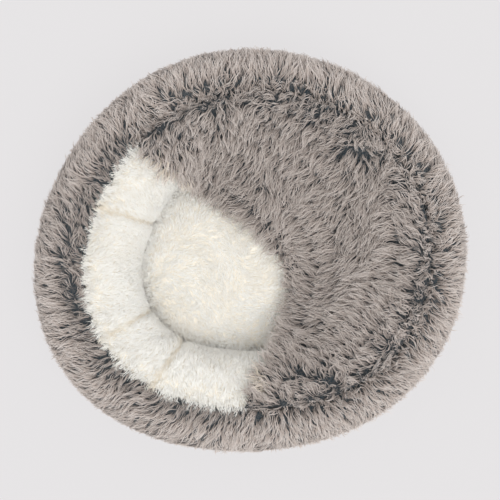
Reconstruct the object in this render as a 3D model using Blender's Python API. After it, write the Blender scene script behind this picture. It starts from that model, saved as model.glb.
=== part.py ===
"""Donut pet bed: a fibre-filled ring round a plush floor, with a hood blanket sewn into its crest.

The origin is on the floor under the middle of the outline. +X is the right of the bed and +Y its
back, seen from above. Lengths are in metres, and angles are in degrees unless a comment says so.
"""
import math

import bmesh
import bpy
from mathutils import Vector

# Outline of the ring, seen from above: a circle with slow waves round it
RING_RADIUS = 0.377
OUTLINE_WAVES = (2, 3, 4)
OUTLINE_WAVE_SHARES = (0.037, 0.0187, 0.0065)
OUTLINE_WAVE_ANGLES = (12.3, -25.6, 34.5)
CENTRING_ROUNDS = 6

# Section of the ring
WIDEST_HEIGHT = 0.085
CREST_HEIGHT = 0.185
CREST_INSET = 0.0875
CREST_LEAN_SHARE = 0.16
WALL_RUN = 0.0945
LINING_DROP = 0.012
TOP_ROUNDING = 2.3
FOOT_ROUNDING = 2.4
SEAM_DIP = 0.007
SEAM_DIP_REACH = 0.014
SEAM_HALF_GAP = 0.0009

# Cloths, with their pile lying as it does in use
SHAG_THICKNESS = 0.011
PLUSH_THICKNESS = 0.006
LINER_THICKNESS = 0.0012
TOUCH_GAP = 0.0003
SOFT_GAP = 0.0005
FILL_GAP = 0.0018

# Wall lining: its tail below the ring's widest line, and its drawn-in creases
LINING_TAIL = 0.012
CREASE_ANGLES = (164, 211, 234)
CREASE_DEPTH = 0.0035
CREASE_HALF_WIDTH = 0.014

# Nest floor and the pad under it
FLOOR_EDGE_DROP = 0.002
FLOOR_CROWN = 0.017
FLOOR_CROWN_ROUNDING = 2.6
PAD_SHOULDER = 0.012
PAD_TUCK = 0.008
PAD_SEAM_HEIGHT = 0.036
PAD_ROUNDING = 2.6

# Base cloth, the upturned band and the bolster's foot inside it
BASE_INSET = 0.052
BASE_THICKNESS = 0.002
BAND_THICKNESS = 0.0012
BAND_TOP = 0.028
BOLSTER_FOOT_INSET = 0.006
BOLSTER_UNDERCUT = 0.035

# Hood blanket: where it is sewn in, its free edge, and how it lies
HOOD_START_ANGLE = 136.7
HOOD_END_ANGLE = -92.2
HOOD_BOW = 0.16
HOOD_BOW_SKEW = 1.3
HOOD_CORNER_SHARE = 0.03
HOOD_LEAVES_WALL_SHARE = 0.62
HOOD_FILLET = 0.04
HOOD_LINING_THICKNESS = 0.005
HOOD_SEAM_SHARE = 0.45
HOOD_TAPER_SHARE = 0.12
HOOD_PUFF = 0.010
HOOD_GATHERS = 11
HOOD_GATHER_HEIGHT = 0.009
HOOD_GATHER_PEAK_SHARE = 0.1
HOOD_FULL_WIDTH = 0.16
HOOD_SLOPE_STEP_SHARE = 0.002

# Zip in the band
ZIP_MIDDLE_ANGLE = 90
ZIP_LENGTH = 0.75
ZIP_HEIGHT = 0.0155
TAPE_THICKNESS = 0.0006
COIL_HEIGHT = 0.0024
COIL_DEPTH = 0.0022
COIL_FLAT_SHARE = 0.5
CHAIN_GAP = 0.0015
CHAIN_MARGIN = 0.012
STOP_LENGTH = 0.004
STOP_DEPTH = 0.0028

# Zip slider and pull tab
SLIDER_LENGTH = 0.014
SLIDER_PLATE = 0.0009
SLIDER_LIP = 0.0009
SLIDER_CLEARANCE = 0.0004
SLIDER_WEB = 0.0007
SLIDER_NOSE_SHARE = 1.18
BRIDGE_LENGTH = 0.0084
BRIDGE_HEIGHT = 0.0031
BRIDGE_STRIP = 0.0009
BRIDGE_WIDTH = 0.0026
BRIDGE_ROOT = 0.0003
BRIDGE_SLOPE_SHARE = 0.8
TAB_LENGTH = 0.027
TAB_WIDTH = 0.0075
TAB_END_SHARE = 0.7
TAB_THICKNESS = 0.0011
TAB_BAR = 0.0011
TAB_EYE_LENGTH = 0.0056
TAB_EYE_WIDTH = 0.0036
TAB_BEVEL = 0.0002

# Sewing thread
THREAD_WIDTH = 0.0012
CREST_THREAD_DEPTH = 0.0045

# How finely round forms are divided
STATIONS = 64
HIDDEN_STATIONS = 32
HOOD_COLUMNS = 56
ZIP_STATIONS = 40
OUTER_TOP_TURNS = (0, 8, 30, 45, 60, 90)
OUTER_FOOT_TURNS = (30, 60, 90)
WALL_TURNS = (0, 15, 30, 45, 60, 90)
HIDDEN_TURNS = (0, 30, 60, 90)
FLOOR_RING_SHARES = (1.0, 0.93, 0.8, 0.6, 0.33)
PAD_RING_SHARES = (0.93, 0.7, 0.4)
HOOD_ROW_SHARES = (0, 0.05, 0.12, 0.23, 0.37, 0.54, 0.76, 1.0)
SHARP_ANGLE = 50

# Finishes: colour on screen from 0 to 255, roughness, metallic
FINISHES = {
    "shag": ((150, 142, 137), 0.95, 0.0),
    "plush": ((238, 236, 231), 0.95, 0.0),
    "base cloth": ((58, 58, 62), 0.9, 0.0),
    "zip tape": ((70, 70, 74), 0.9, 0.0),
    "zip coil": ((48, 48, 52), 0.45, 0.0),
    "zip metal": ((170, 170, 172), 0.3, 1.0),
    "thread": ((120, 113, 108), 0.8, 0.0),
    "liner": ((226, 226, 226), 0.9, 0.0),
    "fibre": ((244, 244, 242), 1.0, 0.0),
}
SCREEN_WHITE = 255
SCREEN_GAMMA = 2.2


# The base keeps its distance inside the ring's outline
BASE_RADIUS = RING_RADIUS - BASE_INSET


def raw_radius(turn):
    """The outline before it is centred; turn is in radians."""
    swell = 0
    for waves, share, start in zip(OUTLINE_WAVES, OUTLINE_WAVE_SHARES, OUTLINE_WAVE_ANGLES):
        swell += share * math.cos(waves * (turn - math.radians(start)))
    return RING_RADIUS * (1 + swell)


def centring_shift():
    """How far the outline's box lies from the origin, found in a few rounds."""
    across = 0
    along = 0
    turns = [math.tau * index / STATIONS for index in range(STATIONS)]
    for _ in range(CENTRING_ROUNDS):
        xs = []
        ys = []
        for turn in turns:
            radius = raw_radius(turn) - across * math.cos(turn) - along * math.sin(turn)
            xs.append(radius * math.cos(turn))
            ys.append(radius * math.sin(turn))
        across += (max(xs) + min(xs)) / 2
        along += (max(ys) + min(ys)) / 2
    return across, along


SHIFT = centring_shift()


def ring_radius(turn):
    """The outer cover's widest line, with its box centred on the origin."""
    return raw_radius(turn) - SHIFT[0] * math.cos(turn) - SHIFT[1] * math.sin(turn)


def crest_radius(turn):
    """The crest seam, which leans outward on the right."""
    return ring_radius(turn) - CREST_INSET * (1 - CREST_LEAN_SHARE * math.cos(turn))


def nest_radius(turn):
    """The inner wall's widest line, where the nest is narrowest."""
    return crest_radius(turn) - WALL_RUN


def rounded(turn, rounding):
    """A quarter of a rounded square: how far across and how far up, from 0 to 1."""
    across = abs(math.sin(turn)) ** (2 / rounding)
    up = abs(math.cos(turn)) ** (2 / rounding)
    return across, up


def at(turn, radius, height):
    """A point from its turn about the vertical, its radius and its height."""
    return Vector((radius * math.cos(turn), radius * math.sin(turn), height))


def seam_dip(outward):
    """How far the cloth is drawn down beside the crest seam."""
    return SEAM_DIP * math.exp(-((outward / SEAM_DIP_REACH) ** 2))


def outer_top(turn, section_turn, depth):
    """The ring's outer upper quarter, from the crest to the widest line."""
    across, up = rounded(section_turn, TOP_ROUNDING)
    start = crest_radius(turn) + SEAM_HALF_GAP
    outward = (ring_radius(turn) - depth - start) * across
    height = WIDEST_HEIGHT + (CREST_HEIGHT - WIDEST_HEIGHT - depth) * up
    return start + outward, height - seam_dip(outward)


def outer_foot(turn, section_turn, depth, foot_radius, foot_height):
    """The ring's outer lower quarter, from the widest line in to its foot."""
    down, across = rounded(section_turn, FOOT_ROUNDING)
    radius = foot_radius + (ring_radius(turn) - depth - foot_radius) * across
    return radius, WIDEST_HEIGHT - (WIDEST_HEIGHT - foot_height - depth) * down


def lining_crest():
    """Height of the wall lining's surface beside the crest seam."""
    return CREST_HEIGHT - LINING_DROP


def inner_top(turn, section_turn, depth):
    """The ring's inner upper quarter, from the crest to the nest's narrowest line."""
    across, up = rounded(section_turn, TOP_ROUNDING)
    start = crest_radius(turn) - SEAM_HALF_GAP
    run = WALL_RUN - SEAM_HALF_GAP - depth
    return start - run * across, WIDEST_HEIGHT + (lining_crest() - WIDEST_HEIGHT - depth) * up


def inner_foot(turn, section_turn, depth, bottom):
    """The ring's inner lower quarter, which draws back under the wall to the base."""
    down, across = rounded(section_turn, FOOT_ROUNDING)
    radius = nest_radius(turn) + depth + BOLSTER_UNDERCUT * (1 - across)
    return radius, WIDEST_HEIGHT - (WIDEST_HEIGHT - bottom) * down


def tail_height():
    """Height of the lower edge of the wall lining, where the floor panel is sewn to it."""
    return WIDEST_HEIGHT - LINING_TAIL


def floor_height(share):
    """The nest floor's surface at a share of the nest's radius."""
    share = min(share, 1)
    return tail_height() - FLOOR_EDGE_DROP + FLOOR_CROWN * (1 - share**FLOOR_CROWN_ROUNDING)


def wall_height(inward):
    """The wall lining's surface at a distance inward of the crest, and its slope."""
    run = WALL_RUN - SEAM_HALF_GAP
    rise = lining_crest() - WIDEST_HEIGHT
    share = max(inward - SEAM_HALF_GAP, 0) / run
    height = rise * (1 - share**TOP_ROUNDING) ** (1 / TOP_ROUNDING)
    slope = 0
    if share > 0:
        slope = -rise / run * (share / (height / rise)) ** (TOP_ROUNDING - 1)
    return WIDEST_HEIGHT + height, slope


def clear_scene():
    """Empties the scene."""
    for thing in list(bpy.data.objects):
        bpy.data.objects.remove(thing, do_unlink=True)


def screen_colour(colour):
    """A colour on screen as the shader's linear values."""
    return [(value / SCREEN_WHITE) ** SCREEN_GAMMA for value in colour] + [1]


def give_material(thing, finish):
    """Gives an object a material of its own in one of the finishes."""
    colour, roughness, metallic = FINISHES[finish]
    material = bpy.data.materials.new(f"{thing.name} {finish}")
    material.use_nodes = True
    shader = material.node_tree.nodes["Principled BSDF"]
    shader.inputs["Base Color"].default_value = screen_colour(colour)
    shader.inputs["Roughness"].default_value = roughness
    shader.inputs["Metallic"].default_value = metallic
    thing.data.materials.append(material)


def make_object(name, shape, finish, smooth=True):
    """Turns a bmesh into a named object with its faces pointing outward."""
    bmesh.ops.recalc_face_normals(shape, faces=shape.faces)
    mesh = bpy.data.meshes.new(name)
    shape.to_mesh(mesh)
    shape.free()
    if smooth:
        mesh.shade_smooth()
        mesh.set_sharp_from_angle(angle=math.radians(SHARP_ANGLE))
    thing = bpy.data.objects.new(name, mesh)
    bpy.context.scene.collection.objects.link(thing)
    give_material(thing, finish)
    return thing


def add_quad(shape, corners):
    """Two triangles, split where the middle is higher, so that cloths in contact bend alike."""
    first, second, third, fourth = corners
    if first.co.z + third.co.z >= second.co.z + fourth.co.z:
        shape.faces.new((first, second, third))
        shape.faces.new((first, third, fourth))
    else:
        shape.faces.new((second, third, fourth))
        shape.faces.new((second, fourth, first))


def skin(rows, close_rows=True, close_columns=True, first_pole=None, last_pole=None):
    """Joins rows of points into a closed surface.

    Each row runs round the part. close_rows joins the last row to the first, as round a section.
    close_columns joins each row's ends, as on a full ring, and open ends are capped. A pole closes
    the first or last row to one point.
    """
    shape = bmesh.new()
    grid = [[shape.verts.new(point) for point in row] for row in rows]
    row_pairs = list(zip(grid, grid[1:]))
    if close_rows:
        row_pairs.append((grid[-1], grid[0]))
    columns = len(rows[0])
    for lower, upper in row_pairs:
        for column in range(columns if close_columns else columns - 1):
            following = (column + 1) % columns
            add_quad(shape, (lower[column], lower[following], upper[following], upper[column]))
    if not close_columns:
        shape.faces.new([row[0] for row in grid])
        shape.faces.new([row[-1] for row in reversed(grid)])
    for pole, row in ((first_pole, grid[0]), (last_pole, grid[-1])):
        if pole is not None:
            tip = shape.verts.new(pole)
            for column in range(columns):
                shape.faces.new((tip, row[column], row[(column + 1) % columns]))
    return shape


def full_turns(stations):
    """Evenly spaced turns round the whole ring, in radians."""
    return [math.tau * index / stations for index in range(stations)]


def ring_rows(section, stations):
    """Rows round the ring through each point of a section, a function of the turn."""
    turns = full_turns(stations)
    sections = [section(turn) for turn in turns]
    return [
        [at(turn, *points[index]) for turn, points in zip(turns, sections)]
        for index in range(len(sections[0]))
    ]


def radians(angles):
    """Angles in degrees as radians."""
    return [math.radians(angle) for angle in angles]


def cover_surface(turn, depth):
    """One face of the outer cover, from the crest seam to the band."""
    points = [outer_top(turn, part, depth) for part in radians(OUTER_TOP_TURNS)]
    foot = (BASE_RADIUS - BAND_THICKNESS, BAND_TOP + TOUCH_GAP)
    points += [outer_foot(turn, part, depth, *foot) for part in radians(OUTER_FOOT_TURNS)]
    return points


def outer_ring_cover():
    """Long-pile cover of the ring's outside."""

    def section(turn):
        return cover_surface(turn, 0) + cover_surface(turn, SHAG_THICKNESS)[::-1]

    return make_object("outer_ring_cover", skin(ring_rows(section, STATIONS)), "shag")


def crease_depth(turn, section_turn):
    """How far the wall lining is drawn in at its creases."""
    depth = 0
    for angle in CREASE_ANGLES:
        aside = math.remainder(turn - math.radians(angle), math.tau) * crest_radius(turn)
        depth += CREASE_DEPTH * math.exp(-((aside / CREASE_HALF_WIDTH) ** 2))
    return depth * math.sin(section_turn)


def inner_wall_lining():
    """Plush lining of the inner wall, creased where the fibre is drawn in."""

    def face(turn, depth, creased):
        points = []
        for part in radians(WALL_TURNS):
            extra = crease_depth(turn, part) if creased else 0
            points.append(inner_top(turn, part, depth + extra))
        radius = points[-1][0]
        return points + [(radius, tail_height())]

    def section(turn):
        return face(turn, 0, True) + face(turn, PLUSH_THICKNESS, False)[::-1]

    return make_object("inner_wall_lining", skin(ring_rows(section, STATIONS)), "plush")


def nest_floor_panel():
    """Crowned plush floor, drawn down to the crease along the wall."""

    def face(turn, drop):
        reach = nest_radius(turn) - SOFT_GAP
        return [(share * reach, floor_height(share) - drop) for share in FLOOR_RING_SHARES]

    def section(turn):
        return face(turn, 0)[::-1] + face(turn, PLUSH_THICKNESS)

    top = Vector((0, 0, floor_height(0)))
    underside = top - Vector((0, 0, PLUSH_THICKNESS))
    shape = skin(ring_rows(section, STATIONS), False, True, top, underside)
    return make_object("nest_floor_panel", shape, "plush")


def thread_ring(name, centre):
    """A line of stitching round the ring; centre gives its radius and height at a turn."""
    half = THREAD_WIDTH / 2
    corners = ((half, 0), (0, half), (-half, 0), (0, -half))

    def section(turn):
        radius, height = centre(turn)
        return [(radius + across, height + up) for across, up in corners]

    return make_object(name, skin(ring_rows(section, STATIONS)), "thread")


def crest_stitching():
    """Stitching that joins the cover, the wall lining and the hood at the crest."""
    height = lining_crest() - CREST_THREAD_DEPTH
    return thread_ring("crest_stitching", lambda turn: (crest_radius(turn), height))


def floor_stitching():
    """Stitching that joins the wall lining to the floor panel."""
    height = tail_height() - THREAD_WIDTH / 2 - SOFT_GAP
    inset = THREAD_WIDTH / 2

    def centre(turn):
        return nest_radius(turn) + inset, height

    return thread_ring("floor_stitching", centre)


def bolster_section(turn, extra, half_seam):
    """The bolster's section, shrunk by extra, from its seam under the ring round to the seam."""
    outer_depth = SHAG_THICKNESS + FILL_GAP + extra
    inner_depth = PLUSH_THICKNESS + FILL_GAP + extra
    bottom = BASE_THICKNESS + SOFT_GAP + extra
    foot_radius = BASE_RADIUS - BOLSTER_FOOT_INSET - extra
    turns = radians(HIDDEN_TURNS)
    inside = [inner_foot(turn, part, inner_depth, bottom) for part in turns]
    seam_radius = (inside[-1][0] + foot_radius) / 2
    points = [(seam_radius + half_seam, bottom)] if half_seam else []
    points.append((foot_radius, bottom))
    foot = (foot_radius, BAND_TOP + TOUCH_GAP)
    points += [outer_foot(turn, part, outer_depth, *foot) for part in turns[:0:-1]]
    points += [outer_top(turn, part, outer_depth) for part in turns[::-1]]
    points += [inner_top(turn, part, inner_depth) for part in turns[1:]]
    points += inside[1:]
    if half_seam:
        points.append((seam_radius - half_seam, bottom))
    return points


def ring_liner():
    """Cloth tube that holds the ring's fibre, with its seam underneath."""

    def section(turn):
        outside = bolster_section(turn, 0, SOFT_GAP)
        return outside + bolster_section(turn, LINER_THICKNESS, SOFT_GAP)[::-1]

    return make_object("ring_liner", skin(ring_rows(section, HIDDEN_STATIONS)), "liner")


def ring_filling():
    """Fibre bolster inside the liner."""

    def section(turn):
        return bolster_section(turn, LINER_THICKNESS + 2 * SOFT_GAP, 0)

    return make_object("ring_filling", skin(ring_rows(section, HIDDEN_STATIONS)), "fibre")


def pad_top(turn, extra):
    """The pad's upper surface, shrunk by extra, from near its middle to the rim seam."""
    under = PLUSH_THICKNESS + SOFT_GAP + extra
    points = []
    for share in reversed(PAD_RING_SHARES):
        points.append((share * (nest_radius(turn) - PAD_SHOULDER), floor_height(share) - under))
    shoulder, height = points[-1]
    rim = nest_radius(turn) + PAD_TUCK - extra
    rise = height - PAD_SEAM_HEIGHT
    for part in radians(HIDDEN_TURNS[1:]):
        across, up = rounded(part, PAD_ROUNDING)
        points.append((shoulder + (rim - shoulder) * across, PAD_SEAM_HEIGHT + rise * up))
    return points


def pad_bottom(turn, extra):
    """The pad's lower surface, from the rim seam in to its flat underside."""
    bottom = BASE_THICKNESS + SOFT_GAP + extra
    rim = nest_radius(turn) + PAD_TUCK - extra
    flat = PAD_RING_SHARES[0] * (nest_radius(turn) - PAD_SHOULDER)
    drop = PAD_SEAM_HEIGHT - bottom
    points = []
    for part in radians(HIDDEN_TURNS):
        down, across = rounded(part, PAD_ROUNDING)
        points.append((flat + (rim - flat) * across, PAD_SEAM_HEIGHT - drop * down))
    return points


def floor_pad_liner(name, surface, upward, pole_height):
    """One of the two round cloths of the pad's bag, which meet at the rim seam."""
    lift = upward * TOUCH_GAP

    def face(turn, extra):
        points = surface(turn, extra)
        return [(radius, height + lift) for radius, height in points]

    def section(turn):
        return face(turn, 0) + face(turn, LINER_THICKNESS)[::-1]

    outside = Vector((0, 0, pole_height + lift))
    inside = outside - Vector((0, 0, upward * LINER_THICKNESS))
    shape = skin(ring_rows(section, HIDDEN_STATIONS), False, True, outside, inside)
    return make_object(name, shape, "liner")


def pad_top_height():
    """Height of the pad's top in the middle of the nest."""
    return floor_height(0) - PLUSH_THICKNESS - SOFT_GAP


def pad_bottom_height():
    """Height of the pad's underside."""
    return BASE_THICKNESS + SOFT_GAP


def floor_pad():
    """The floor pad: its bag of two round cloths, and the fibre in it."""
    floor_pad_liner("floor_pad_liner_top", pad_top, 1, pad_top_height() - TOUCH_GAP)

    def underside(turn, extra):
        return pad_bottom(turn, extra)[::-1]

    floor_pad_liner("floor_pad_liner_bottom", underside, -1, pad_bottom_height() + TOUCH_GAP)
    inset = LINER_THICKNESS + SOFT_GAP

    def section(turn):
        return pad_top(turn, inset) + pad_bottom(turn, inset)[1:]

    top = Vector((0, 0, pad_top_height() - inset))
    bottom = Vector((0, 0, pad_bottom_height() + inset))
    shape = skin(ring_rows(section, HIDDEN_STATIONS), False, True, top, bottom)
    make_object("floor_pad_filling", shape, "fibre")


def smooth_step(share):
    """0 below 0 and 1 above 1, with a smooth rise between."""
    share = min(max(share, 0), 1)
    return share * share * (3 - 2 * share)


def nest_height(point):
    """The wall and floor as the hood lies on them: it leaves the wall in a fillet to the floor."""
    turn = math.atan2(point.y, point.x)
    inward = crest_radius(turn) - point.xy.length
    leaves = HOOD_LEAVES_WALL_SHARE * WALL_RUN
    wall, slope = wall_height(min(inward, leaves))
    wall += slope * max(inward - leaves, 0)
    floor = floor_height(point.xy.length / nest_radius(turn))
    blend = max(1 - abs(wall - floor) / HOOD_FILLET, 0)
    return max(wall, floor) + HOOD_FILLET / 4 * blend * blend


def hood_seam_point(along):
    """A point of the hood's seam in plan, along from 0 to 1 clockwise."""
    turn = math.radians(HOOD_START_ANGLE + along * (HOOD_END_ANGLE - HOOD_START_ANGLE))
    return at(turn, crest_radius(turn) - SEAM_HALF_GAP, 0)


def hood_edge_point(along):
    """A point of the hood's free edge in plan: the chord between the seam's ends, bowed."""
    start = hood_seam_point(0)
    end = hood_seam_point(1)
    share = HOOD_CORNER_SHARE + along * (1 - 2 * HOOD_CORNER_SHARE)
    chord = end - start
    aside = Vector((-chord.y, chord.x, 0)).normalized()
    return start + share * chord + aside * HOOD_BOW * math.sin(math.pi * share**HOOD_BOW_SKEW)


def hood_lift(along, inward):
    """How far the hood stands off the nest: its puff, and gathers that fade away from the seam.

    Both die out towards the hood's narrow ends.
    """
    puff = HOOD_PUFF * math.sin(math.pi * inward) ** 2
    ripple = (1 - math.cos(math.tau * HOOD_GATHERS * along)) / 2
    near_seam = inward / HOOD_GATHER_PEAK_SHARE
    gather = HOOD_GATHER_HEIGHT * ripple * (near_seam * math.exp(1 - near_seam)) ** 2
    width = (hood_edge_point(along) - hood_seam_point(along)).length
    return (puff + gather) * smooth_step(width / HOOD_FULL_WIDTH)


def hood_bed(along, inward):
    """The hood's underside at a share along the seam and a share in towards the free edge."""
    point = hood_seam_point(along).lerp(hood_edge_point(along), inward)
    point.z = nest_height(point) + SOFT_GAP + hood_lift(along, inward)
    return point


def hood_point(along, inward, height):
    """A point of the hood at a height above its underside, square to it."""
    here = hood_bed(along, inward)
    later = min(along + HOOD_SLOPE_STEP_SHARE, 1)
    earlier = max(along - HOOD_SLOPE_STEP_SHARE, 0)
    further = min(inward + HOOD_SLOPE_STEP_SHARE, 1)
    nearer = max(inward - HOOD_SLOPE_STEP_SHARE, 0)
    beside = hood_bed(later, inward) - hood_bed(earlier, inward)
    ahead = hood_bed(along, further) - hood_bed(along, nearer)
    up = beside.cross(ahead)
    if up.z < 0:
        up.negate()
    taper = HOOD_SEAM_SHARE + (1 - HOOD_SEAM_SHARE) * smooth_step(inward / HOOD_TAPER_SHARE)
    return here + up.normalized() * height * taper


def hood_sheet(name, low, high, finish):
    """One cloth of the hood between two heights above its underside."""
    places = [column / HOOD_COLUMNS for column in range(HOOD_COLUMNS + 1)]
    rows = []
    for height, shares in ((high, HOOD_ROW_SHARES), (low, HOOD_ROW_SHARES[::-1])):
        for inward in shares:
            rows.append([hood_point(along, inward, height) for along in places])
    return make_object(name, skin(rows, True, False), finish)


def hood():
    """The hood blanket: a plush lining with a long-pile top."""
    lining_top = HOOD_LINING_THICKNESS
    shag_bottom = lining_top + SOFT_GAP
    hood_sheet("hood_plush_lining", 0, lining_top, "plush")
    hood_sheet("hood_shag", shag_bottom, shag_bottom + SHAG_THICKNESS, "shag")


def base_panel():
    """Round base cloth that the bed stands on."""
    shape = bmesh.new()
    bmesh.ops.create_circle(shape, cap_ends=True, radius=BASE_RADIUS, segments=STATIONS)
    top = bmesh.ops.extrude_face_region(shape, geom=list(shape.faces))
    raised = [item for item in top["geom"] if isinstance(item, bmesh.types.BMVert)]
    bmesh.ops.translate(shape, verts=raised, vec=(0, 0, BASE_THICKNESS))
    return make_object("base_panel", shape, "base cloth")


def band_arc(name, start, end, stations, corners, finish):
    """A strip round part of the base; corners are its section's radii and heights."""
    turns = [start + (end - start) * index / stations for index in range(stations + 1)]
    rows = [[at(turn, radius, height) for turn in turns] for radius, height in corners]
    return make_object(name, skin(rows, True, False), finish)


def rectangle(inner, outer, low, high):
    """Corners of a rectangular section."""
    return ((inner, low), (outer, low), (outer, high), (inner, high))


def band_bottom():
    """Height of the band's lower edge on the base panel."""
    return BASE_THICKNESS + TOUCH_GAP


def zip_reach():
    """The turn on each side of the zip's middle, in radians."""
    return ZIP_LENGTH / 2 / BASE_RADIUS


def zip_middle():
    """The turn of the zip's middle, in radians."""
    return math.radians(ZIP_MIDDLE_ANGLE)


def zip_radius():
    """Radius of the tapes' middle surface."""
    return BASE_RADIUS - BAND_THICKNESS / 2


def base_gusset():
    """The base's upturned band, over the part that the zip leaves."""
    spare = SOFT_GAP / BASE_RADIUS
    start = zip_middle() + zip_reach() + spare
    end = zip_middle() - zip_reach() - spare + math.tau
    section = rectangle(BASE_RADIUS - BAND_THICKNESS, BASE_RADIUS, band_bottom(), BAND_TOP)
    return band_arc("base_gusset", start, end, ZIP_STATIONS, section, "base cloth")


def zip_tapes_and_coils():
    """Two tapes and the two halves of the chain between them."""
    start = zip_middle() - zip_reach()
    end = zip_middle() + zip_reach()
    margin = CHAIN_MARGIN / BASE_RADIUS
    half_gap = CHAIN_GAP / 2
    tape_edge = half_gap + COIL_HEIGHT + TOUCH_GAP
    tape = (zip_radius() - TAPE_THICKNESS / 2, zip_radius() + TAPE_THICKNESS / 2)
    lower = rectangle(*tape, band_bottom(), ZIP_HEIGHT - tape_edge)
    upper = rectangle(*tape, ZIP_HEIGHT + tape_edge, BAND_TOP)
    band_arc("zip_tape_lower", start, end, ZIP_STATIONS, lower, "zip tape")
    band_arc("zip_tape_upper", start, end, ZIP_STATIONS, upper, "zip tape")
    half_depth = COIL_DEPTH / 2
    bulge = half_depth * COIL_FLAT_SHARE
    for name, side in (("zip_coil_lower", -1), ("zip_coil_upper", 1)):
        near = ZIP_HEIGHT + side * half_gap
        middle = near + side * COIL_HEIGHT / 2
        far = near + side * COIL_HEIGHT
        section = (
            (zip_radius() - bulge, near),
            (zip_radius() + bulge, near),
            (zip_radius() + half_depth, middle),
            (zip_radius() + bulge, far),
            (zip_radius() - bulge, far),
            (zip_radius() - half_depth, middle),
        )
        band_arc(name, start + margin, end - margin, ZIP_STATIONS, section, "zip coil")


def bevelled_box(name, size, turn, height, finish):
    """A small block with softened edges, standing in the band at a turn."""
    shape = bmesh.new()
    bmesh.ops.create_cube(shape, size=1)
    bmesh.ops.scale(shape, vec=size, verts=shape.verts)
    edges = list(shape.edges)
    bmesh.ops.bevel(shape, geom=edges, offset=TAB_BEVEL, segments=1, affect="EDGES")
    thing = make_object(name, shape, finish, smooth=False)
    thing.location = at(turn, zip_radius(), height)
    thing.rotation_euler.z = turn - math.pi / 2
    return thing


def zip_stops():
    """Metal stops past both ends of the chain, one across it and one on each tape."""
    reach = (ZIP_LENGTH / 2 - CHAIN_MARGIN + SOFT_GAP + STOP_LENGTH / 2) / BASE_RADIUS
    chain = CHAIN_GAP + 2 * COIL_HEIGHT
    size = (STOP_LENGTH, STOP_DEPTH, chain)
    bevelled_box("zip_bottom_stop", size, zip_middle() + reach, ZIP_HEIGHT, "zip metal")
    single = (STOP_LENGTH, STOP_DEPTH, COIL_HEIGHT)
    offset = (CHAIN_GAP + COIL_HEIGHT) / 2
    for name, side in (("zip_top_stop_lower", -1), ("zip_top_stop_upper", 1)):
        height = ZIP_HEIGHT + side * offset
        bevelled_box(name, single, zip_middle() - reach, height, "zip metal")


def extrude_outline(outline, depth, across):
    """A flat outline given a thickness; across places a pair of values and a depth in space."""
    shape = bmesh.new()
    near = [shape.verts.new(across(*point, -depth / 2)) for point in outline]
    far = [shape.verts.new(across(*point, depth / 2)) for point in outline]
    shape.faces.new(near)
    shape.faces.new(far[::-1])
    for index in range(len(outline)):
        following = (index + 1) % len(outline)
        shape.faces.new((near[index], far[index], far[following], near[following]))
    return shape


def slider_front():
    """Distance of the slider's front face from the tapes' middle surface."""
    return COIL_DEPTH / 2 + SLIDER_CLEARANCE + SLIDER_PLATE


def slider_section():
    """The slider's section: two plates on a web, with lips that leave slots for the tapes."""
    face = COIL_DEPTH / 2 + SLIDER_CLEARANCE
    front = slider_front()
    inner = CHAIN_GAP / 2 + COIL_HEIGHT + SLIDER_CLEARANCE
    outer = inner + SLIDER_LIP
    slot = TAPE_THICKNESS / 2 + SLIDER_CLEARANCE
    web = SLIDER_WEB / 2
    corner = ((front, outer), (slot, outer), (slot, inner), (face, inner), (face, web))
    back = [(-out, up) for out, up in corner[::-1]]
    half = list(corner) + back
    return half + [(out, -up) for out, up in half[::-1]]


def slider_body():
    """The slider's body, wider at the nose that leads when the zip closes."""
    half = SLIDER_LENGTH / 2
    stations = ((-half, 1), (0, 1), (half, SLIDER_NOSE_SHARE))
    rows = []
    for out, up in slider_section():
        rows.append([Vector((along, out, up * share)) for along, share in stations])
    return skin(rows, True, False)


def slider_bridge():
    """The bridge on the slider's front, which holds the pull tab's bar."""
    half = BRIDGE_LENGTH / 2
    top = half * BRIDGE_SLOPE_SHARE
    inside = half - BRIDGE_STRIP
    inside_top = top - BRIDGE_STRIP
    clear = BRIDGE_HEIGHT - BRIDGE_STRIP
    outline = (
        (-half, -BRIDGE_ROOT),
        (-top, BRIDGE_HEIGHT),
        (top, BRIDGE_HEIGHT),
        (half, -BRIDGE_ROOT),
        (inside, -BRIDGE_ROOT),
        (inside_top, clear),
        (-inside_top, clear),
        (-inside, -BRIDGE_ROOT),
    )

    def across(along, out, up):
        return Vector((along, slider_front() + out, up))

    return extrude_outline(outline, BRIDGE_WIDTH, across)


def join_solids(body, added):
    """Fuses one object into another with a Boolean that is applied."""
    fuse = body.modifiers.new("fuse", "BOOLEAN")
    fuse.operation = "UNION"
    fuse.solver = "EXACT"
    fuse.object = added
    bpy.context.view_layer.update()
    evaluated = body.evaluated_get(bpy.context.evaluated_depsgraph_get())
    fused = bpy.data.meshes.new_from_object(evaluated)
    body.modifiers.clear()
    body.data = fused
    bpy.data.objects.remove(added, do_unlink=True)


def rest_turn():
    """The turn at which the closed zip's slider waits, against the top stops."""
    back_off = CHAIN_MARGIN + SLIDER_LENGTH / 2 + SOFT_GAP
    return zip_middle() - zip_reach() + back_off / BASE_RADIUS


def zip_track():
    """An empty on the axis that the slider turns about as it runs round the band."""
    track = bpy.data.objects.new("zip_track_axis", None)
    bpy.context.scene.collection.objects.link(track)
    return track


def zip_slider(track):
    """The slider, seated over the chain."""
    thing = make_object("zip_slider", slider_body(), "zip metal", smooth=False)
    bridge = make_object("slider bridge", slider_bridge(), "zip metal", smooth=False)
    join_solids(thing, bridge)
    thing.location = at(rest_turn(), zip_radius(), ZIP_HEIGHT)
    thing.rotation_euler.z = rest_turn() - math.pi / 2
    thing.parent = track
    return thing


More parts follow.
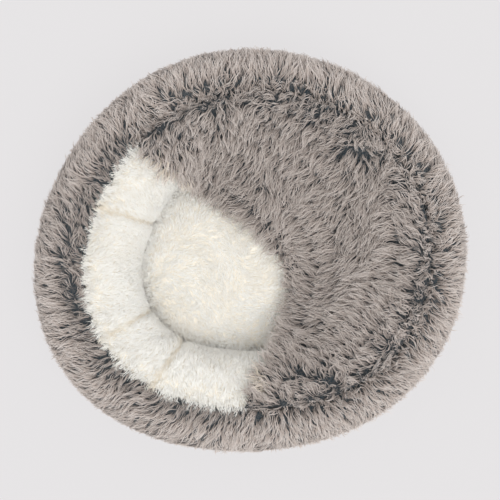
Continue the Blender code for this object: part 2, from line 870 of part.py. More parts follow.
def tab_outline():
    """Outline of the pull tab, from its bar end to its rounded far end."""
    half = TAB_WIDTH / 2
    near = TAB_BAR / 2
    waist = TAB_BAR + TAB_EYE_LENGTH + near
    end = half * TAB_END_SHARE
    return ((near, half), (-waist, half), (-TAB_LENGTH + end, end), (-TAB_LENGTH, end / 2))


def zip_pull_tab(track):
    """The pull tab: a plate with an eye whose bar lies under the slider's bridge."""
    half = list(tab_outline())
    outline = half + [(along, -up) for along, up in half[::-1]]

    def across(along, up, out):
        return Vector((along, out, up))

    plate = extrude_outline(outline, TAB_THICKNESS, across)
    thing = make_object("zip_pull_tab", plate, "zip metal", smooth=False)
    eye = bmesh.new()
    bmesh.ops.create_cube(eye, size=1)
    bmesh.ops.scale(eye, vec=(TAB_EYE_LENGTH, TAB_WIDTH, TAB_EYE_WIDTH), verts=eye.verts)
    shift = -TAB_BAR / 2 - TAB_EYE_LENGTH / 2
    bmesh.ops.translate(eye, verts=eye.verts, vec=(shift, 0, 0))
    cutter = make_object("tab eye cutter", eye, "zip metal", smooth=False)
    cutter.hide_render = True
    cutter.display_type = "WIRE"
    cut = thing.modifiers.new("eye", "BOOLEAN")
    cut.operation = "DIFFERENCE"
    cut.object = cutter
    soften = thing.modifiers.new("soften", "BEVEL")
    soften.width = TAB_BEVEL
    soften.segments = 1
    reach = zip_radius() + slider_front() + (BRIDGE_HEIGHT - BRIDGE_STRIP) / 2
    thing.location = at(rest_turn(), reach, ZIP_HEIGHT)
    thing.rotation_euler.z = rest_turn() - math.pi / 2
    thing.parent = track
    cutter.parent = thing
    return thing


def main():
    """Builds the bed."""
    clear_scene()
    base_panel()
    base_gusset()
    zip_tapes_and_coils()
    zip_stops()
    track = zip_track()
    zip_slider(track)
    zip_pull_tab(track)
    ring_filling()
    ring_liner()
    floor_pad()
    inner_wall_lining()
    nest_floor_panel()
    outer_ring_cover()
    crest_stitching()
    floor_stitching()
    hood()
    print("slider rest turn", math.degrees(rest_turn()))
    print("slider travel", math.degrees(2 * (zip_middle() - rest_turn())))


main()
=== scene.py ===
"""Donut pet bed: the looks of a fibre-filled ring with a shaggy cover, a plush nest and a hood blanket.

Lengths are in metres. The origin is on the floor under the middle of the outline, +X is the bed's
right and +Y its back. Every surface is a function of two parameters on a grid: a turn about the
vertical, or a share along the hood's seam, and a place down the cloth.
"""
import math

import bpy
import numpy as np
from bpy.props import FloatProperty, FloatVectorProperty, IntProperty, PointerProperty
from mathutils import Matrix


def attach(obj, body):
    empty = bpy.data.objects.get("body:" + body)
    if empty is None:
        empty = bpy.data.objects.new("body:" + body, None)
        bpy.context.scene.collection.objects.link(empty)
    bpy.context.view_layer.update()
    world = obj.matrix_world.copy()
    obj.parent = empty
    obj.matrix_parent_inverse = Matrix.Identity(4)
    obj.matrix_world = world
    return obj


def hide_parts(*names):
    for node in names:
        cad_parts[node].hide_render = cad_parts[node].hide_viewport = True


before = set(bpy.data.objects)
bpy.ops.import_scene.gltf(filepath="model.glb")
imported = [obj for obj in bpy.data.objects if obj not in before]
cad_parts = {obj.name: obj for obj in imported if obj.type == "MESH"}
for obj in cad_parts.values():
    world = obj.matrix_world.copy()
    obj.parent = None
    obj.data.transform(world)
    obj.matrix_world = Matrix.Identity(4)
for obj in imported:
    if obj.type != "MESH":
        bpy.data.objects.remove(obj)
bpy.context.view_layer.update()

bl_info = {
    "name": "Donut pet bed",
    "version": (1, 0, 0),
    "blender": (4, 5, 0),
    "location": "3D View > Sidebar > Pet bed",
    "description": "Dresses the solids of a donut pet bed in shag, plush, cloth and zip",
    "category": "Object",
}

BODY = "bed"
BAKE_MAP = "OFBake"

# Strands that would rise above the start of the cap level off within its room; none ends lower
# than the lowest tip.
CAP_START = 0.196
CAP_ROOM = 0.015
LOWEST_TIP = 0.0015


def screen(red, green, blue):
    """A colour on screen, from 0 to 255, as linear values."""
    shares = np.array([red, green, blue]) / 255
    return tuple(np.where(shares <= 0.04045, shares / 12.92, ((shares + 0.055) / 1.055) ** 2.4))


def length(name, default, description):
    """A size in metres that a user may change."""
    return FloatProperty(name=name, default=default, description=description, unit="LENGTH", precision=4)


def angle(name, degrees, description):
    """An angle that a user may change."""
    return FloatProperty(
        name=name, default=math.radians(degrees), description=description, subtype="ANGLE", unit="ROTATION"
    )


def share(name, default, description):
    """A share or factor that a user may change."""
    return FloatProperty(name=name, default=default, description=description, subtype="FACTOR")


def count(name, default, description):
    """A whole number that a user may change."""
    return IntProperty(name=name, default=default, description=description, min=1)


def colour(name, red, green, blue, description):
    """A colour that a user may change, given as it looks on screen."""
    default = screen(red, green, blue)
    return FloatVectorProperty(
        name=name, default=default, description=description, subtype="COLOR", size=3, min=0, max=1
    )


class BedSizes(bpy.types.PropertyGroup):
    """Sizes of the ring, the nest and the hood, as the solids have them."""

    ring_radius: length("Ring radius", 0.377, "Mean radius of the outer cover")
    widest_height: length("Widest height", 0.085, "Height at which the ring is widest")
    crest_height: length("Crest height", 0.185, "Height of the ring's crest")
    crest_inset: length("Crest inset", 0.0875, "How far the crest seam lies inside the outline")
    crest_lean: share("Crest lean", 0.16, "How much further out the crest lies on the right")
    wall_run: length("Wall run", 0.0945, "How far the inner wall runs in from the crest")
    lining_drop: length("Lining drop", 0.012, "How far the lining's crest lies below the cover's")
    top_rounding: share("Top rounding", 2.3, "Squareness of the ring's upper section")
    foot_rounding: share("Foot rounding", 2.4, "Squareness of the ring's lower section")
    seam_dip: length("Seam dip", 0.007, "How far the cover is drawn down at the crest seam")
    seam_dip_reach: length("Seam dip reach", 0.014, "How far out the seam draws the cover down")
    seam_half_gap: length("Seam half gap", 0.0009, "Half the gap between the cloths at the seam")
    base_radius: length("Base radius", 0.325, "Radius of the base cloth")
    band_thickness: length("Band thickness", 0.0012, "Thickness of the upturned band")
    band_top: length("Band top", 0.028, "Height of the band's upper edge")
    touch_gap: length("Touch gap", 0.0003, "Gap between pieces that touch")
    lining_tail: length("Lining tail", 0.012, "How far the wall lining reaches below the widest line")
    floor_tuck: length("Floor tuck", 0.0038, "How far the floor reaches under the wall's plush")
    floor_drop: length("Floor drop", 0.002, "How far the floor's edge lies below the lining")
    floor_crown: length("Floor crown", 0.017, "How much higher the floor's middle is")
    floor_rounding: share("Floor rounding", 2.6, "How flat the floor's middle is")
    outer_fill_gap: length("Outer fill gap", 0.0148, "How deep the filling's bag lies under the cover's top")
    side_fill_gap: length("Side fill gap", 0.0090, "How deep the filling's bag lies under the cover's side")
    inner_fill_gap: length("Inner fill gap", 0.0078, "How deep the filling's bag lies under the lining")
    fill_bottom: length("Fill bottom", 0.0025, "Height of the bags' undersides")
    fill_foot_inset: length("Fill foot inset", 0.006, "How far the bag's foot lies inside the base's edge")
    fill_undercut: length("Fill undercut", 0.035, "How far the bag draws back under the wall")
    bag_thickness: length("Bag thickness", 0.0012, "Thickness of the bags' cloth")
    bag_gap: length("Bag gap", 0.0005, "Gap between a bag and its fibre, and at its seams")
    pad_shoulder: length("Pad shoulder", 0.012, "How far the pad's shoulder lies inside the nest")
    pad_tuck: length("Pad tuck", 0.008, "How far the pad reaches under the wall")
    pad_drop: length("Pad drop", 0.0065, "How far the pad's top lies below the floor's surface")
    pad_seam_height: length("Pad seam height", 0.036, "Height of the pad's rim seam")
    pad_rounding: share("Pad rounding", 2.6, "Squareness of the pad's edge")
    pad_flat_share: share("Pad flat share", 0.93, "Share of the pad's underside that is flat")
    zip_middle: angle("Zip middle", 90, "Turn of the zip's middle")
    zip_length: length("Zip length", 0.75, "Length of the zip")
    zip_height: length("Zip height", 0.0155, "Height of the zip's chain")
    zip_margin: length("Zip margin", 0.012, "How far the chain's ends lie inside the tapes' ends")
    chain_gap: length("Chain gap", 0.0015, "Gap between the two halves of the chain")
    coil_height: length("Coil height", 0.0024, "Height of one half of the chain")
    coil_depth: length("Coil depth", 0.0022, "Depth of the chain")
    coil_pitch: length("Coil pitch", 0.0022, "Distance from tooth to tooth")
    coil_wire: length("Coil wire", 0.00032, "Radius of the coil's wire")
    hood_start: angle("Hood start", 136.7, "Turn at which the hood's seam starts")
    hood_end: angle("Hood end", -92.2, "Turn at which the hood's seam ends, clockwise")
    hood_bow: length("Hood bow", 0.16, "How far the free edge bows to the right")
    hood_bow_skew: share("Hood bow skew", 1.3, "How far the bow is drawn towards the seam's end")
    hood_corner: share("Hood corner", 0.03, "Share of the chord left at each end of the free edge")
    hood_leaves_wall: share("Hood leaves wall", 0.62, "Share of the wall that the hood lies on")
    hood_fillet: length("Hood fillet", 0.04, "How softly the hood turns from the wall to the floor")
    hood_puff: length("Hood puff", 0.010, "How far the hood stands off the nest")
    hood_gathers: count("Hood gathers", 11, "Gathers along the seam")
    hood_gather_height: length("Gather height", 0.009, "How far a gather stands up")
    hood_gather_peak: share("Gather peak", 0.1, "Share inward at which a gather is highest")
    hood_full_width: length("Hood full width", 0.16, "Width from which the hood puffs fully")


class ShagPile(bpy.types.PropertyGroup):
    """The long grey pile."""

    root_depth: length("Root depth", 0.0112, "How far the pile's roots lie under the ring's top")
    side_depth: length("Side depth", 0.0052, "How far the pile's roots lie inside the ring's side")
    lock_length: length("Lock length", 0.031, "Length of a lock")
    lock_width: length("Lock width", 0.0021, "Radius of a lock's foot")
    strand_radius: length("Strand radius", 0.00068, "Radius of a strand at its thickest")
    ring_locks: count("Ring locks", 9700, "Locks on the ring's upper half")
    rim_locks: count("Rim locks", 4700, "Locks on the ring's lower half")
    hood_locks: count("Hood locks", 6200, "Locks on the hood")
    strands: count("Strands", 3, "Strands in a lock")
    steps: count("Steps", 4, "Steps along a strand")
    root: colour("Root", 56, 74, 84, "Colour of the pile's roots")
    middle: colour("Middle", 166, 155, 148, "Colour half way up")
    tip: colour("Tip", 238, 228, 221, "Colour of the tips")
    rim_tip: colour("Rim tip", 232, 223, 217, "Colour of the tips at the rim")
    cream: colour("Cream", 232, 221, 206, "Colour of the locks that lie over the white plush")


class PlushPile(bpy.types.PropertyGroup):
    """The short white pile."""

    root_depth: length("Root depth", 0.0052, "How far the pile's roots lie inside the surface")
    lock_length: length("Lock length", 0.0125, "Length of a tuft")
    lock_width: length("Lock width", 0.0042, "Radius of a tuft's foot")
    strand_radius: length("Strand radius", 0.00055, "Radius of a strand at its thickest")
    wall_locks: count("Wall tufts", 4800, "Tufts on the part of the wall that shows")
    floor_locks: count("Floor tufts", 2850, "Tufts on the part of the floor that shows")
    strands: count("Strands", 6, "Strands in a tuft")
    steps: count("Steps", 2, "Steps along a strand")
    light: colour("Light", 255, 254, 250, "Colour of the plush")
    # Mixed in where a tone is low: painted shade at the roots and in the creases, and a little warmth of the
    # plush's own.
    shade: colour("Shade", 244, 235, 218, "Colour of the plush in its creases")


class StageLook(bpy.types.PropertyGroup):
    """Floor, lamps and camera."""

    background: colour("Background", 230, 228, 229, "Colour of the floor and backdrop")
    sky_strength: share("Sky strength", 0.82, "Strength of the light from all round")
    sun_strength: share("Sun strength", 1.3, "Strength of the soft lamp")
    camera_height: length("Camera height", 2.3, "Height of the camera above the floor")
    frame_width: length("Frame width", 0.906, "Width of the picture at the ring's widest height")


# Shapes of the ring and the nest


# Waves round the outline: how many, their height as a share of the radius, and their turn in degrees
OUTLINE_WAVES = ((2, 0.037, 12.3), (3, 0.0187, -25.6), (4, 0.0065, 34.5))
OUTLINE_STATIONS = 64
CENTRING_ROUNDS = 6
CREASE_TURNS = (164, 211, 234)
CREASE_DRAW = 0.0035
CREASE_HALF_WIDTH = 0.014
NEAR_MIDDLE = 0.02
SOFT_GAP = 0.0005
HOOD_SEAM_SHARE = 0.45
HOOD_TAPER = 0.12
HOOD_OUTLINE_POINTS = 60


def turns(stations):
    """A row of even turns about the vertical."""
    return np.linspace(0, math.tau, stations, endpoint=False)[None]


def quarter(rows):
    """A column of even parts of a quarter turn."""
    return np.linspace(0, math.pi / 2, rows)[:, None]


def turn_of(points):
    """The turn of each point about the vertical."""
    return np.arctan2(points[..., 1], points[..., 0])


def radius_of(points):
    """The distance of each point from the vertical through the origin."""
    return np.linalg.norm(points[..., :2], axis=-1)


def smooth_step(place):
    """0 below 0 and 1 above 1, with 3x² - 2x³ between."""
    place = np.clip(place, 0, 1)
    return place * place * (3 - 2 * place)


def bell(place, width):
    """1 at 0, falling off as the exponential of minus the square of the place over the width."""
    return np.exp(-((place / width) ** 2))


def raw_radius(size, turn):
    """The mean radius times 1 plus three slow cosine waves of the turn."""
    swell = sum(wave * np.cos(waves * (turn - math.radians(start))) for waves, wave, start in OUTLINE_WAVES)
    return size.ring_radius * (1 + swell)


def centre_shift(size):
    """How far the outline's box lies from the origin."""
    turn = turns(OUTLINE_STATIONS)[0]
    shift = np.zeros(2)
    for _ in range(CENTRING_ROUNDS):
        radius = raw_radius(size, turn) - shift[0] * np.cos(turn) - shift[1] * np.sin(turn)
        plan = radius * np.stack([np.cos(turn), np.sin(turn)])
        shift += (plan.max(1) + plan.min(1)) / 2
    return shift


def ring_radius(size, turn):
    """The outline's radius, less its box's shift along the turn."""
    across, along = centre_shift(size)
    return raw_radius(size, turn) - across * np.cos(turn) - along * np.sin(turn)


def crest_radius(size, turn):
    """The outline less an inset that shrinks with the cosine of the turn."""
    return ring_radius(size, turn) - size.crest_inset * (1 - size.crest_lean * np.cos(turn))


def nest_radius(size, turn):
    """The crest less the wall's run."""
    return crest_radius(size, turn) - size.wall_run


def rounded(part, rounding):
    """A superellipse's quarter: sine and cosine of the part, each to the power 2 / rounding."""
    return np.abs(np.sin(part)) ** (2 / rounding), np.abs(np.cos(part)) ** (2 / rounding)


def at(turn, radius, height):
    """Points at turns about the vertical, from their radius and height."""
    turn, radius, height = np.broadcast_arrays(turn, radius, height)
    return np.stack([radius * np.cos(turn), radius * np.sin(turn), height], -1)


def ring_grid(size, depth, top_depth, rows_up, rows_down, stations, foot, foot_height):
    """The ring's outside at a depth inside its side and its top: two superellipse quarters, crest to foot.

    The upper one goes from the crest seam out to the widest line, less a bell-shaped dip beside
    the seam. The lower one goes on in to the foot.
    """
    turn = turns(stations)
    part = quarter(rows_up)
    widest = size.widest_height
    start = crest_radius(size, turn) + size.seam_half_gap
    across, up = rounded(part, size.top_rounding)
    outward = (ring_radius(size, turn) - depth - start) * across
    dip = size.seam_dip * bell(outward, size.seam_dip_reach)
    top = at(turn, start + outward, widest + (size.crest_height - widest - top_depth) * up - dip)
    part = quarter(rows_down + 1)[1:]
    down, across = rounded(part, size.foot_rounding)
    radius = foot + (ring_radius(size, turn) - depth - foot) * across
    low = at(turn, radius, widest - (widest - foot_height) * down)
    return np.concatenate([top, low])


def cover_grid(size, depth, top_depth, rows_up, rows_down, stations):
    """The ring cover at its depths, whose foot stands on the base's band."""
    foot = size.base_radius - size.band_thickness
    foot_height = size.band_top + size.touch_gap + depth / 4
    return ring_grid(size, depth, top_depth, rows_up, rows_down, stations, foot, foot_height)


def crease_depth(size, turn, part):
    """Bell-shaped draws at the creases' turns, which grow with the sine of the part down the wall."""
    depth = 0
    for degrees in CREASE_TURNS:
        aside = (turn - math.radians(degrees) + math.pi) % math.tau - math.pi
        depth = depth + CREASE_DRAW * bell(aside * crest_radius(size, turn), CREASE_HALF_WIDTH)
    return depth * np.sin(part)


def wall_grid(size, depth, rows, stations):
    """The wall lining at a depth: a superellipse quarter from the crest in, and a straight tail."""
    turn = turns(stations)
    part = quarter(rows)
    depth = depth + crease_depth(size, turn, part)
    across, up = rounded(part, size.top_rounding)
    run = size.wall_run - size.seam_half_gap - depth
    radius = crest_radius(size, turn) - size.seam_half_gap - run * across
    rise = size.crest_height - size.lining_drop - size.widest_height - depth
    wall = at(turn, radius, size.widest_height + rise * up)
    tail = wall[-1:].copy()
    tail[..., 2] -= size.lining_tail
    return np.concatenate([wall, tail])


def floor_height(size, reach):
    """The floor's edge plus its crown times 1 less the reach to the power of the rounding."""
    edge = size.widest_height - size.lining_tail - size.floor_drop
    return edge + size.floor_crown * (1 - np.minimum(reach, 1) ** size.floor_rounding)


def floor_grid(size, drop, rows, stations):
    """The nest floor, from its rim under the wall's plush to near its middle, lowered by a drop."""
    turn = turns(stations)
    reach = np.linspace(1, NEAR_MIDDLE, rows)[:, None]
    return at(turn, reach * (nest_radius(size, turn) + size.floor_tuck), floor_height(size, reach) - drop)


def bolster_grid(size, extra, rows, stations, seam_gap):
    """The bolster's whole section, shrunk by extra, from its seam underneath round to the seam.

    It goes along the flat underside to the foot, up the ring's outside to the crest, down the nest
    wall, and back under the wall by a superellipse quarter.
    """
    turn = turns(stations)
    gaps = (size.side_fill_gap, size.outer_fill_gap, size.inner_fill_gap)
    side, outer, inner = (gap + extra for gap in gaps)
    bottom = size.fill_bottom + extra
    foot = size.base_radius - size.fill_foot_inset - extra
    foot_height = size.band_top + size.touch_gap + outer
    outside = ring_grid(size, side, outer, rows, rows, stations, foot, foot_height)[::-1]
    wall = wall_grid(size, inner, rows, stations)[1:-1]
    part = quarter(rows)[1:]
    down, across = rounded(part, size.foot_rounding)
    under = nest_radius(size, turn) + inner + size.fill_undercut * (1 - across)
    back = at(turn, under, size.widest_height - (size.widest_height - bottom) * down)
    seam = (under[-1:] + foot) / 2
    ends = [at(turn, radius, bottom) for radius in (seam + seam_gap, foot, seam - seam_gap)]
    return np.concatenate([*ends[:2], outside, wall, back, ends[2]])


def pad_grid(size, extra, rows, stations, upper):
    """Half of the floor pad, shrunk by extra, from near its middle out to its rim seam.

    The upper half follows the nest floor to its shoulder. Each half turns to the seam by a
    superellipse quarter.
    """
    turn = turns(stations)
    place = np.linspace(NEAR_MIDDLE, 1, rows)[:, None]
    shoulder = nest_radius(size, turn) - size.pad_shoulder
    rim = nest_radius(size, turn) + size.pad_tuck - extra
    part = quarter(rows)[1:]
    across, up = rounded(part, size.pad_rounding)
    if upper:
        flat = floor_height(size, place) - size.pad_drop - extra
        edge = floor_height(size, 1.0) - size.pad_drop - extra
    else:
        flat = np.full_like(place, size.fill_bottom + extra)
        edge = size.fill_bottom + extra
        shoulder = size.pad_flat_share * shoulder
    height = size.pad_seam_height + (edge - size.pad_seam_height) * up
    side = at(turn, shoulder + (rim - shoulder) * across, height)
    return np.concatenate([at(turn, place * shoulder, flat), side])


# The hood: its plan, and how it lies on the nest


def seam_plan(size, along):
    """The crest seam in plan, at shares along the hood's stretch of it."""
    turn = size.hood_start + along * (size.hood_end - size.hood_start)
    return at(turn, crest_radius(size, turn) - size.seam_half_gap, 0)


def edge_plan(size, along):
    """The chord between the seam's ends, bowed by a sine of a skewed share."""
    start, end = seam_plan(size, np.array([0.0, 1.0]))
    place = (size.hood_corner + along * (1 - 2 * size.hood_corner))[..., None]
    chord = end - start
    aside = np.array([-chord[1], chord[0], 0]) / np.linalg.norm(chord)
    return start + place * chord + aside * size.hood_bow * np.sin(math.pi * place**size.hood_bow_skew)


def nest_height(size, plan):
    """The higher of the wall and the floor, blended by a fillet; past its share the wall goes on straight."""
    turn, radius = turn_of(plan), radius_of(plan)
    inward = crest_radius(size, turn) - radius
    leaves = size.hood_leaves_wall * size.wall_run
    run = size.wall_run - size.seam_half_gap
    rise = size.crest_height - size.lining_drop - size.widest_height
    power = size.top_rounding
    place = np.clip(np.minimum(inward, leaves) - size.seam_half_gap, 1e-6, None) / run
    up = (1 - place**power) ** (1 / power)
    slope = -rise / run * (place / up) ** (power - 1)
    wall = size.widest_height + rise * up + slope * np.maximum(inward - leaves, 0)
    floor = floor_height(size, radius / nest_radius(size, turn))
    blend = np.maximum(1 - np.abs(wall - floor) / size.hood_fillet, 0)
    return np.maximum(wall, floor) + size.hood_fillet / 4 * blend * blend


def hood_grid(size, rows, columns):
    """The hood's underside: plan points between the seam and the free edge, laid on the nest.

    It stands off the nest by a squared sine across, and by gathers that fade inward.
    """
    along, inward = np.meshgrid(np.linspace(0, 1, columns), np.linspace(0, 1, rows))
    seam, edge = seam_plan(size, along), edge_plan(size, along)
    bed = seam + (edge - seam) * inward[..., None]
    ripple = (1 - np.cos(math.tau * size.hood_gathers * along)) / 2
    near = inward / size.hood_gather_peak
    lift = size.hood_puff * np.sin(math.pi * inward) ** 2
    lift = lift + size.hood_gather_height * ripple * (near * np.exp(1 - near)) ** 2
    width = np.linalg.norm(edge - seam, axis=-1)
    bed[..., 2] = nest_height(size, bed) + SOFT_GAP + lift * smooth_step(width / size.hood_full_width)
    return bed


def hood_layer(bed, height):
    """The hood at a height off its underside, which is less beside the seam."""
    inward = np.linspace(0, 1, len(bed))[:, None, None]
    full = HOOD_SEAM_SHARE + (1 - HOOD_SEAM_SHARE) * smooth_step(inward / HOOD_TAPER)
    return bed + directions(bed, False)[0] * height * full


def under_hood(size, points, margin):
    """Which points lie under the hood's plan, by counting its outline's crossings."""
    along = np.linspace(0, 1, HOOD_OUTLINE_POINTS)
    seam, edge = seam_plan(size, along), edge_plan(size, along)
    outline = np.concatenate([seam, (edge + (edge - seam) * margin)[::-1]])[:, :2]
    following = np.roll(outline, -1, 0)
    x, y = points[..., 0, None], points[..., 1, None]
    spans = (outline[:, 1] > y) != (following[:, 1] > y)
    rise = following[:, 1] - outline[:, 1]
    rise = np.where(np.abs(rise) < 1e-9, 1e-9, rise)
    crossing = outline[:, 0] + (y - outline[:, 1]) / rise * (following[:, 0] - outline[:, 0])
    return (spans & (x < crossing)).sum(-1) % 2 == 1


# Grids and meshes


UPSIDE_DOWN = -0.3
CLOTH_STEPS = 20
CLOTH_SETTINGS = {
    "use_pressure": True,
    "tension_stiffness": 40,
    "compression_stiffness": 40,
    "shear_stiffness": 20,
    "bending_stiffness": 2,
}
# The two steps of an even sequence in the plane
SEQUENCE = (0.7548776662466927, 0.5698402909980532)
SEQUENCE_STARTS = (0.37, 0.61)


def unit(vectors):
    """Vectors at length 1."""
    return vectors / np.maximum(np.linalg.norm(vectors, axis=-1, keepdims=True), 1e-12)


def directions(grid, wraps):
    """Normals, and the directions down the rows and round the columns, by central differences.

    Where the first row isn't upright, its normals point up.
    """
    down = np.gradient(grid, axis=0)
    if wraps:
        around = (np.roll(grid, -1, 1) - np.roll(grid, 1, 1)) / 2
    else:
        around = np.gradient(grid, axis=1)
    normal = unit(np.cross(down, around))
    if normal[0, :, 2].mean() < UPSIDE_DOWN:
        normal = -normal
    return normal, unit(down), unit(around)


def put_in_scene(name, data):
    """A new object at the origin, with its data."""
    thing = bpy.data.objects.new(name, data)
    bpy.context.scene.collection.objects.link(thing)
    return thing


def make_mesh(name, points, quads, triangles=None, corner_uv=None):
    """A mesh object from arrays of points, four-cornered and three-cornered faces, facing outwards.

    Cloth is smooth. Strands, which come with a map, are flat, because a smooth look on three sides
    would darken them.
    """
    triangles = np.zeros((0, 3), np.int64) if triangles is None else triangles
    fan = np.concatenate([triangles, quads[:, [0, 1, 2]], quads[:, [0, 2, 3]]])
    first, second, third = (points[fan[:, corner]] for corner in range(3))
    if np.einsum("ij,ij->i", first, np.cross(second, third)).sum() < 0:
        quads, triangles = quads[:, ::-1], triangles[:, ::-1]
        if corner_uv is not None:
            corner_uv = (corner_uv[0][:, ::-1], corner_uv[1][:, ::-1])
    mesh = bpy.data.meshes.new(name)
    corners = np.concatenate([quads.ravel(), triangles.ravel()])
    totals = np.concatenate([np.full(len(quads), 4), np.full(len(triangles), 3)])
    mesh.vertices.add(len(points))
    mesh.vertices.foreach_set("co", points.astype(np.float32).ravel())
    mesh.loops.add(len(corners))
    mesh.loops.foreach_set("vertex_index", corners.astype(np.int32))
    mesh.polygons.add(len(totals))
    mesh.polygons.foreach_set("loop_start", (np.cumsum(totals) - totals).astype(np.int32))
    mesh.polygons.foreach_set("loop_total", totals.astype(np.int32))
    mesh.polygons.foreach_set("use_smooth", np.full(len(totals), corner_uv is None))
    if corner_uv is not None:
        layer = mesh.uv_layers.new(name=BAKE_MAP)
        flat = np.concatenate([part.ravel() for part in corner_uv])
        layer.uv.foreach_set("vector", flat.astype(np.float32))
    mesh.update(calc_edges=True)
    mesh.validate()
    return put_in_scene(name, mesh)


def skin(name, grid, wrap_columns=True, poles=None):
    """A closed mesh from a grid whose rows run round a section.

    With poles the rows are open and the first and last close to a point. Without wrapped columns
    the two ends of the section's tube are closed by faces across it.
    """
    rows, columns = grid.shape[:2]
    index = np.arange(rows * columns).reshape(rows, columns)
    below = index if poles is None else index[:-1]
    above = np.roll(index, -1, 0) if poles is None else index[1:]
    if wrap_columns:
        quads = np.stack([below, np.roll(below, -1, 1), np.roll(above, -1, 1), above], -1)
    else:
        quads = np.stack([below[:, :-1], below[:, 1:], above[:, 1:], above[:, :-1]], -1)
    quads = quads.reshape(-1, 4)
    points = grid.reshape(-1, 3)
    triangles = None
    if poles is not None:
        points = np.concatenate([points, np.asarray(poles, float)])
        first, last = (np.full(columns, rows * columns + pole) for pole in (0, 1))
        ends = [
            np.stack([first, np.roll(index[0], -1), index[0]], -1),
            np.stack([last, index[-1], np.roll(index[-1], -1)], -1),
        ]
        triangles = np.concatenate(ends)
    if not wrap_columns:
        half = rows // 2
        near, far = index[:half], index[::-1][:half]
        ends = [
            np.stack([near[1:, 0], near[:-1, 0], far[:-1, 0], far[1:, 0]], -1),
            np.stack([near[:-1, -1], near[1:, -1], far[1:, -1], far[:-1, -1]], -1),
        ]
        quads = np.concatenate([quads, *ends])
    return make_mesh(name, points, quads, triangles)


def shell(outer, inner):
    """The closed section of a cloth, as the grids of its two faces one after the other."""
    return np.concatenate([outer, inner[::-1]])


def two_faces(grid, outer, inner):
    """The closed section of a cloth whose faces lie at two depths under a grid round the bed."""
    normal = directions(grid, True)[0]
    return shell(grid - outer * normal, grid - inner * normal)


def pinned_rows(grid, rows):
    """Marks for a grid's points: true in some rows."""
    pinned = np.zeros(grid.shape[:2], bool)
    pinned[rows] = True
    return pinned


def settle(grid, wraps, pinned, pressure, growth, cap):
    """A grid of cloth after a short simulation: pinned where marked, pushed out along its normals.

    The cloth grows by a share of its size, so it puffs and wrinkles between its pins. What is behind
    it stops it from moving inward, and the cap times the tanh of a move over the cap limits the
    rest.
    """
    rows, columns = grid.shape[:2]
    index = np.arange(rows * columns).reshape(rows, columns)
    if wraps:
        after = np.roll(index, -1, 1)
    else:
        index, after = index[:, :-1], index[:, 1:]
    quads = np.stack([index[:-1], index[1:], after[1:], after[:-1]], -1).reshape(-1, 4)
    normal = directions(grid, wraps)[0]
    first, second, third = (grid.reshape(-1, 3)[quads[:, corner]] for corner in range(3))
    facing = np.cross(second - first, third - first)
    if (facing * normal.reshape(-1, 3)[quads[:, 0]]).sum() < 0:
        quads = quads[:, ::-1]
    mesh = bpy.data.meshes.new("cloth")
    mesh.from_pydata(grid.reshape(-1, 3), [], quads)
    cloth = put_in_scene("cloth", mesh)
    pins = cloth.vertex_groups.new(name="pins")
    pins.add(np.flatnonzero(pinned.ravel()).tolist(), 1.0, "REPLACE")
    settings = cloth.modifiers.new("cloth", "CLOTH").settings
    settings.vertex_group_mass = pins.name
    settings.uniform_pressure_force = pressure
    settings.shrink_min = -growth
    settings.effector_weights.gravity = 0
    for name, value in CLOTH_SETTINGS.items():
        setattr(settings, name, value)
    scene = bpy.context.scene
    for step in range(CLOTH_STEPS):
        scene.frame_set(step + 1)
    depsgraph = bpy.context.evaluated_depsgraph_get()
    settled = np.empty(rows * columns * 3, np.float32)
    cloth.evaluated_get(depsgraph).data.vertices.foreach_get("co", settled)
    scene.frame_set(1)
    bpy.data.objects.remove(cloth)
    bpy.data.meshes.remove(mesh)
    move = settled.reshape(grid.shape).astype(float) - grid
    move -= np.minimum((move * normal).sum(-1, keepdims=True), 0) * normal
    far = np.linalg.norm(move, axis=-1, keepdims=True)
    return grid + move * (cap * np.tanh(far / cap) / np.maximum(far, 1e-9))


def wrapped(grid):
    """A grid with its first column again after its last."""
    return np.concatenate([grid, grid[:, :1]], 1)


def between(grid, row, column, down, across):
    """A grid read between its points by straight lines, from whole places and the shares past them."""
    near = grid[row, column] * (1 - across) + grid[row, column + 1] * across
    far = grid[row + 1, column] * (1 - across) + grid[row + 1, column + 1] * across
    return near * (1 - down) + far * down


def finer(grid, wraps, rows, columns):
    """A grid read at more rows and columns."""
    if wraps:
        grid = wrapped(grid)
    row = np.linspace(0, grid.shape[0] - 1, rows)
    column = np.linspace(0, grid.shape[1] - 1, columns + wraps)
    top = np.minimum(row.astype(int), grid.shape[0] - 2)
    left = np.minimum(column.astype(int), grid.shape[1] - 2)
    down, across = (row - top)[:, None, None], (column - left)[None, :, None]
    return between(grid, top[:, None], left[None], down, across)[:, :columns]


